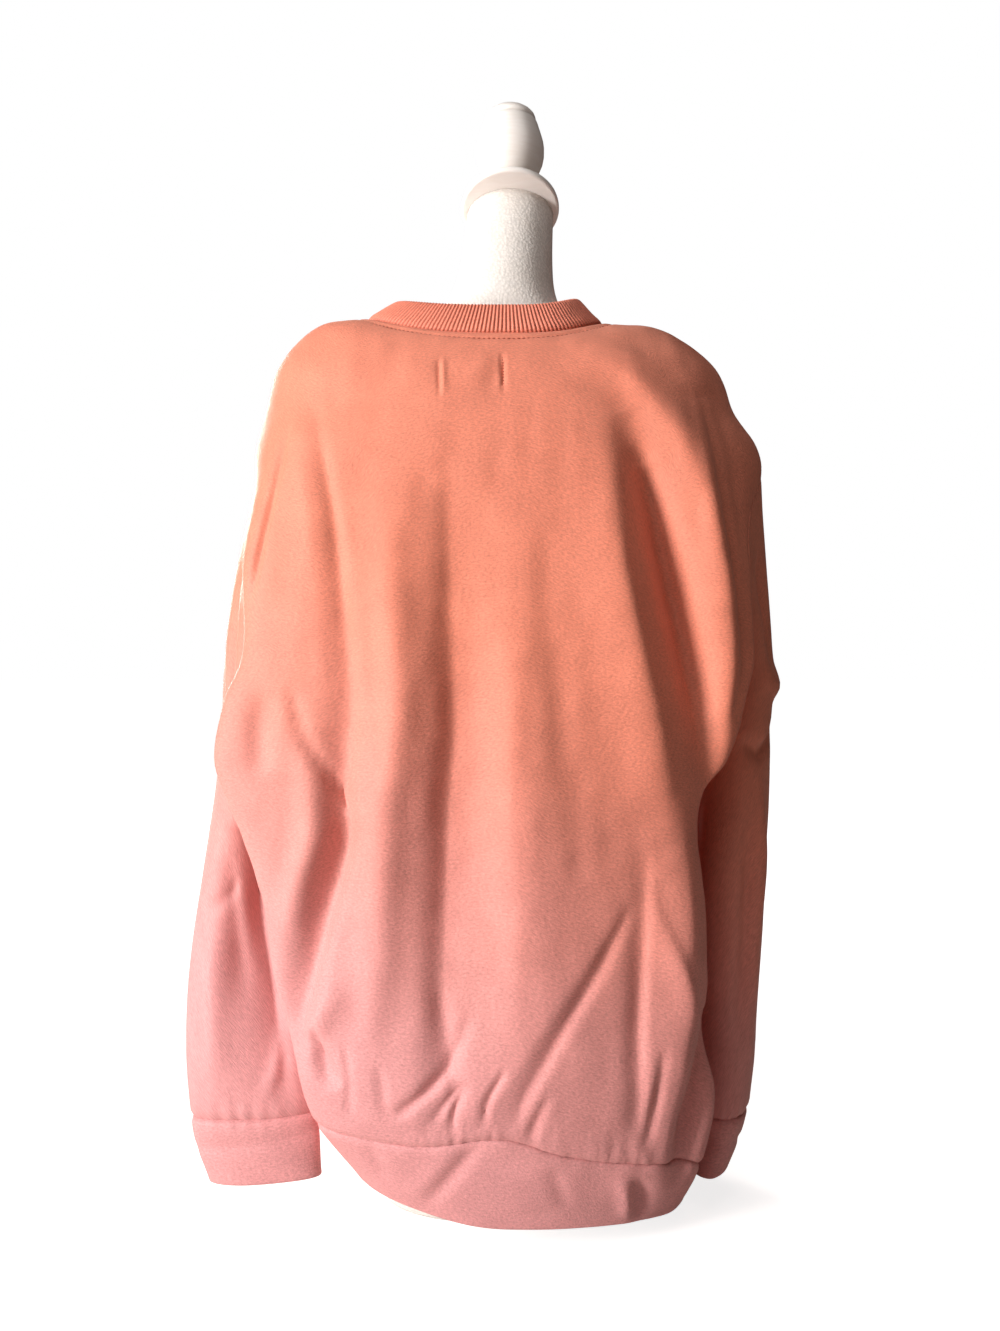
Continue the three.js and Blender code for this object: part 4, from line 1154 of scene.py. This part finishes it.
# Dress form, neck cap and finial
# A row for each section: height, half width, half depth, and its middle's x and y
formSections = np.array(
    [
        [0, 98, 62, -4, 0],
        [6, 103, 66, -4, 0],
        [60, 110, 74, -4, 0],
        [170, 116, 82, -4, 0],
        [300, 104, 74, -5, 0],
        [430, 124, 82, -6, 0],
        [540, 142, 84, -6, 0],
        [620, 156, 76, -6, 0],
        [665, 169, 62, -6, 0],
        [690, 178, 50, -6, 0],
        [702, 178.5, 43, -6, 0],
        [711, 170, 38, -6, 0],
        [719, 152, 36, -6, 0],
        [727, 130, 32, -6, -2],
        [736, 98, 31, -6, -3],
        [743, 72, 34, -5, -1],
        [755, 55, 40, -4, 3],
        [775, 45, 41, -2, 6],
        [805, 40, 37, 1, 12],
        [849, 38, 30, 4, 19],
    ],
    float,
)
formLook = {
    "sides": 120,
    "rowsPerSection": 6,
    "power": 0.833,
    "roundFrom": 740.0,  # the torso's ring turns into the neck's oval between these heights
    "roundBy": 780.0,
    "tilt": math.radians(24),
    "tiltFrom": 17.4,  # the rings lean from this section up to the last
    "turnedSides": 96,
    "capThickness": 7.0,
    "bossFoot": 8.0,
    "bossFootRadius": 21.2,
    "bossTopRadius": 20.0,
    "bossHeight": 10.0,
    "capBack": 5.0,  # the cap overhangs the oval neck more at the back
    "gap": 0.3,
    "poleRadius": 0.02,
}
# Radius and height of the knob and of the cap, from the foot up
finialOutline = np.array(
    [
        [0, 0], [17.5, 0], [19, 1.2], [19.2, 3.6], [18.2, 5.2], [16, 6.6], [15.4, 8.2], [16.6, 10.2],
        [20, 13], [23.6, 17.4], [26.5, 22], [28.6, 27], [29.8, 33], [29.9, 40], [29.2, 45], [27.8, 50],
        [26.2, 55], [24.6, 60], [23.6, 62.6], [22.2, 63.4], [21.7, 64.2], [22.2, 65.1], [22.5, 66.2],
        [21.6, 68.6], [19.3, 71.2], [16, 73.6], [11.5, 75.6], [6, 76.7], [0, 77],
    ],
    float,
)
capOutline = [
    (41, 0), (42.4, 0.5), (43, 1.8), (43, 3.6), (42.6, 5.4), (41.2, 6.7), (39, 7.0), (34, 7.1), (27, 7.3),
    (23, 7.8),
]


def ringAt(middle, halfWidth, halfDepth, tilt, power, sides):
    angle = np.linspace(0, 2 * math.pi, sides, endpoint=False)
    x = halfWidth * signedPower(np.cos(angle), power)
    y = halfDepth * signedPower(np.sin(angle), power)
    return np.stack([middle[0] + x, middle[1] + y * math.cos(tilt), middle[2] - y * math.sin(tilt)], -1)


def turnedObject(name, rings, material):
    grid = np.stack(rings)
    made = gridObject(name, grid, True, material)
    mesh = made.data
    columns = grid.shape[1]
    work = bmesh.new()
    work.from_mesh(mesh)
    work.verts.ensure_lookup_table()
    first = [work.verts[i] for i in range(columns)]
    last = [work.verts[len(work.verts) - columns + i] for i in range(columns)]
    work.faces.new(first[::-1])
    work.faces.new(last)
    bmesh.ops.remove_doubles(work, verts=work.verts, dist=1e-6)
    work.to_mesh(mesh)
    work.free()
    mesh.update()
    return made


# Cream stockinette cover: a stretched cotton knit with a fine pebble, matt, a little soiled, with painted
# shade between the pebbles
formJersey, formTree = newMaterial("cream_stockinette_cover")
formPlace = addNode(formTree, "ShaderNodeTexCoord").outputs["Object"]
pebble = addNode(formTree, "ShaderNodeTexVoronoi", {"Vector": formPlace, "Scale": 420.0}).outputs["Distance"]
soil = addNode(formTree, "ShaderNodeTexNoise", {"Vector": formPlace, "Scale": 22.0, "Detail": 6.0}).outputs[0]
formColour = addNode(
    formTree,
    "ShaderNodeMix",
    {"Factor": soil, 6: toLinear("#F8F3EE"), 7: toLinear("#EBDDD0")},
    data_type="RGBA",
).outputs[2]
# painted shade and highlight: darker in the hollows between pebbles, a little lighter on their tops
paintedPebbleShade = addNode(
    formTree, "ShaderNodeMapRange", {"Value": pebble, "From Max": 0.7, "To Min": 1.04, "To Max": 0.86}
).outputs[0]
formShaded = addNode(
    formTree, "ShaderNodeVectorMath", {0: formColour, "Scale": paintedPebbleShade}, operation="SCALE"
).outputs[0]
formBump = addNode(
    formTree, "ShaderNodeBump", {"Height": pebble, "Strength": 0.5, "Distance": 0.0006}, invert=True
).outputs[0]
formShader = addNode(
    formTree,
    "ShaderNodeBsdfPrincipled",
    {
        "Base Color": formShaded,
        "Roughness": 0.9,
        "Specular IOR Level": 0.2,
        "Sheen Weight": 0.1,
        "Normal": formBump,
    },
)
addNode(formTree, "ShaderNodeOutputMaterial", {"Surface": formShader.outputs[0]})

# Turned beech under brushed cream eggshell paint: soft gloss, painted shade darkening the grooves in patches,
# worn in patches
paintedWood, woodTree = newMaterial("cream_eggshell_on_beech")
woodPlace = addNode(woodTree, "ShaderNodeTexCoord").outputs["Object"]
brushed = addNode(
    woodTree, "ShaderNodeMapping", {"Vector": woodPlace, "Scale": (1.0, 1.0, 9.0)}
).outputs[0]
strokes = addNode(
    woodTree, "ShaderNodeTexNoise", {"Vector": brushed, "Scale": 60.0, "Detail": 5.0}
).outputs[0]
blotch = addNode(
    woodTree, "ShaderNodeTexNoise", {"Vector": woodPlace, "Scale": 38.0, "Detail": 5.0}
).outputs[0]
paint = addNode(
    woodTree,
    "ShaderNodeMix",
    {"Factor": strokes, 6: toLinear("#F6F0EB"), 7: toLinear("#EBE0D6")},
    data_type="RGBA",
).outputs[2]
pointy = addNode(woodTree, "ShaderNodeNewGeometry").outputs["Pointiness"]
# painted shade: concave grooves are darkened towards brown, patchily
grooveShadeMask = addNode(
    woodTree,
    "ShaderNodeMapRange",
    {"Value": pointy, "From Min": 0.44, "From Max": 0.5, "To Min": 0.75, "To Max": 0.0},
).outputs[0]
patchyGrooveShade = addNode(woodTree, "ShaderNodeMath", {0: grooveShadeMask, 1: blotch}, operation="MULTIPLY").outputs[0]
grooveShaded = addNode(
    woodTree, "ShaderNodeMix", {"Factor": patchyGrooveShade, 6: paint, 7: toLinear("#8F7B66")}, data_type="RGBA"
).outputs[2]
scuff = addNode(
    woodTree, "ShaderNodeMapRange", {"Value": blotch, "From Min": 0.62, "From Max": 0.74, "To Max": 0.4}
).outputs[0]
worn = addNode(
    woodTree, "ShaderNodeMix", {"Factor": scuff, 6: grooveShaded, 7: toLinear("#C9B8A2")}, data_type="RGBA"
).outputs[2]
woodBump = addNode(
    woodTree, "ShaderNodeBump", {"Height": strokes, "Strength": 0.25, "Distance": 0.0005}
).outputs[0]
woodShader = addNode(
    woodTree,
    "ShaderNodeBsdfPrincipled",
    {"Base Color": worn, "Roughness": 0.42, "IOR": 1.5, "Normal": woodBump},
)
addNode(woodTree, "ShaderNodeOutputMaterial", {"Surface": woodShader.outputs[0]})

lastSection = len(formSections) - 1
formRings = []
for level in np.linspace(0, lastSection, lastSection * formLook["rowsPerSection"] + 1):
    z, halfWidth, halfDepth, x, y = sectionAt(formSections, np.array(level))
    tilt = formLook["tilt"] * smoothStep(formLook["tiltFrom"], lastSection, level)
    roundness = smoothStep(formLook["roundFrom"], formLook["roundBy"], z)
    power = formLook["power"] + (1 - formLook["power"]) * roundness
    formRings.append(ringAt((x, y, max(z, 0)), halfWidth, halfDepth, tilt, power, formLook["sides"]))
dressForm = turnedObject("dress_form_cover", formRings, formJersey)


def turnedRing(middle, radius, lean=0.0):
    return ringAt(middle, radius, radius, lean, 1, formLook["turnedSides"])


neckTop, _, _, neckX, neckY = formSections[-1]
tilt = formLook["tilt"]
upright = np.array([0, 0, 1.0])
capNormal = np.array([0, math.sin(tilt), math.cos(tilt)])
alongCap = np.array([0, -math.cos(tilt), math.sin(tilt)])
capSeat = np.array([neckX, neckY, neckTop]) + capNormal * formLook["gap"] + alongCap * formLook["capBack"]
capRings = [turnedRing(capSeat + capNormal * height, radius, tilt) for radius, height in capOutline]
bossFoot = capSeat + capNormal * formLook["bossFoot"]
bossTop = capSeat + capNormal * formLook["capThickness"] + upright * formLook["bossHeight"]
for share in (0.55, 0.85, 1.0):  # the seat turns from the cap's slant to level
    radius = formLook["bossFootRadius"] + (formLook["bossTopRadius"] - formLook["bossFootRadius"]) * share
    capRings.append(turnedRing(bossFoot + (bossTop - bossFoot) * share, radius, tilt * (1 - share)))
neckCap = turnedObject("neck_cap_turned", capRings, paintedWood)

finialFoot = bossTop + upright * formLook["gap"]
finialRings = [
    turnedRing(finialFoot + upright * height, max(radius, formLook["poleRadius"]))
    for radius, height in finialOutline
]
finial = turnedObject("finial_turned", finialRings, paintedWood)
print("dress form made")


# What each piece stands for
leftSleeve, leftCuff = sleevePieces["left"]
rightSleeve, rightCuff = sleevePieces["right"]
places = [
    (backPanel, "back_panel", "fleece"),
    (frontPanel, "front_panel", "fleece"),
    (leftSleeve, "left_sleeve", "fleece"),
    (rightSleeve, "right_sleeve", "fleece"),
    (leftCuff, "left_cuff", "band_knit"),
    (rightCuff, "right_cuff", "band_knit"),
    (hemBand, "hem_band", "band_knit"),
    (neckRib, "neck_rib", "rib_knit"),
    (dressForm, "dress_form", "form_cover"),
    (neckCap, "neck_cap", "painted_wood"),
    (finial, "finial", "painted_wood"),
]
for piece, node, slotName in places:
    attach(piece, "root")
    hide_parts(node)
for piece in (coverStitch, leftTack, rightTack):
    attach(piece, "root")
# Floor and light
# White studio: the floor shows as white, with the part's soft shadow on it. Sizes in metres.
stageLook = {
    "floorHalf": 30.0,
    "floorColour": "#D2C9C4",
    "glowNear": 0.80,
    "glowFar": 1.0,
    "nearReach": 0.5,
    "farReach": 2.2,
    "worldSeen": 1.0,
    "worldLight": 0.028,
    "worldColour": "#FFC2A2",
    "aimHeight": 0.42,  # all the lights point at the middle of the garment
}
floorMesh = bpy.data.meshes.new("floor")
half = stageLook["floorHalf"]
floorCorners = [(-half, -half, 0), (half, -half, 0), (half, half, 0), (-half, half, 0)]
floorMesh.from_pydata(floorCorners, [], [(0, 1, 2, 3)])
floor = bpy.data.objects.new("floor", floorMesh)
bpy.context.collection.objects.link(floor)
floorPaint, floorTree = newMaterial("matt_white_studio_floor")
floorPlace = addNode(floorTree, "ShaderNodeTexCoord").outputs["Object"]
floorReach = addNode(floorTree, "ShaderNodeVectorMath", {0: floorPlace}, operation="LENGTH").outputs["Value"]
evenGlow = addNode(
    floorTree,
    "ShaderNodeMapRange",
    {
        "Value": floorReach,
        "From Min": stageLook["nearReach"],
        "From Max": stageLook["farReach"],
        "To Min": stageLook["glowNear"],
        "To Max": stageLook["glowFar"],
    },
    interpolation_type="SMOOTHSTEP",
).outputs[0]
floorSeen = addNode(floorTree, "ShaderNodeLightPath").outputs["Is Camera Ray"]
floorGlow = addNode(floorTree, "ShaderNodeMath", {0: floorSeen, 1: evenGlow}, operation="MULTIPLY").outputs[0]
floorShader = addNode(
    floorTree,
    "ShaderNodeBsdfPrincipled",
    {
        "Base Color": toLinear(stageLook["floorColour"]),
        "Roughness": 0.9,
        "Specular IOR Level": 0.1,
        "Emission Color": (1, 1, 1, 1),
        "Emission Strength": floorGlow,
    },
)
addNode(floorTree, "ShaderNodeOutputMaterial", {"Surface": floorShader.outputs[0]})
floorMesh.materials.append(floorPaint)

world = bpy.data.worlds.new("studio")
bpy.context.scene.world = world
world.use_nodes = True
worldTree = world.node_tree
worldTree.nodes.clear()
seen = addNode(
    worldTree, "ShaderNodeBackground", {"Color": (1, 1, 1, 1), "Strength": stageLook["worldSeen"]}
)
lit = addNode(
    worldTree,
    "ShaderNodeBackground",
    {"Color": toLinear(stageLook["worldColour"]), "Strength": stageLook["worldLight"]},
)
ray = addNode(worldTree, "ShaderNodeLightPath").outputs["Is Camera Ray"]
blended = addNode(worldTree, "ShaderNodeMixShader", {0: ray, 1: lit.outputs[0], 2: seen.outputs[0]})
addNode(worldTree, "ShaderNodeOutputWorld", {"Surface": blended.outputs[0]})

lights = {
    "key": {"place": (-2.28, -1.55, 0.82), "width": 0.6, "tall": 1.2, "power": 109.0},
    "top": {"place": (-0.8, -1.2, 2.4), "width": 1.4, "tall": 1.4, "power": 15.0},
    "neck_fill": {"place": (0.36, -0.32, 1.34), "width": 0.3, "tall": 0.3, "power": 0.5},
    "front_key": {"place": (-1.6, 2.2, 1.2), "width": 0.7, "tall": 1.4, "power": 80.0},
}
for name, look in lights.items():
    lamp = bpy.data.lights.new(name, "AREA")
    lamp.shape = "RECTANGLE"
    lamp.size, lamp.size_y = look["width"], look["tall"]
    lamp.energy = look["power"]
    holder = bpy.data.objects.new(name, lamp)
    bpy.context.collection.objects.link(holder)
    holder.location = look["place"]
    towards = Vector((0, 0, stageLook["aimHeight"])) - Vector(look["place"])
    holder.rotation_euler = towards.to_track_quat("-Z", "Y").to_euler()
bpy.context.scene.view_settings.view_transform = "Standard"
print("stage set")
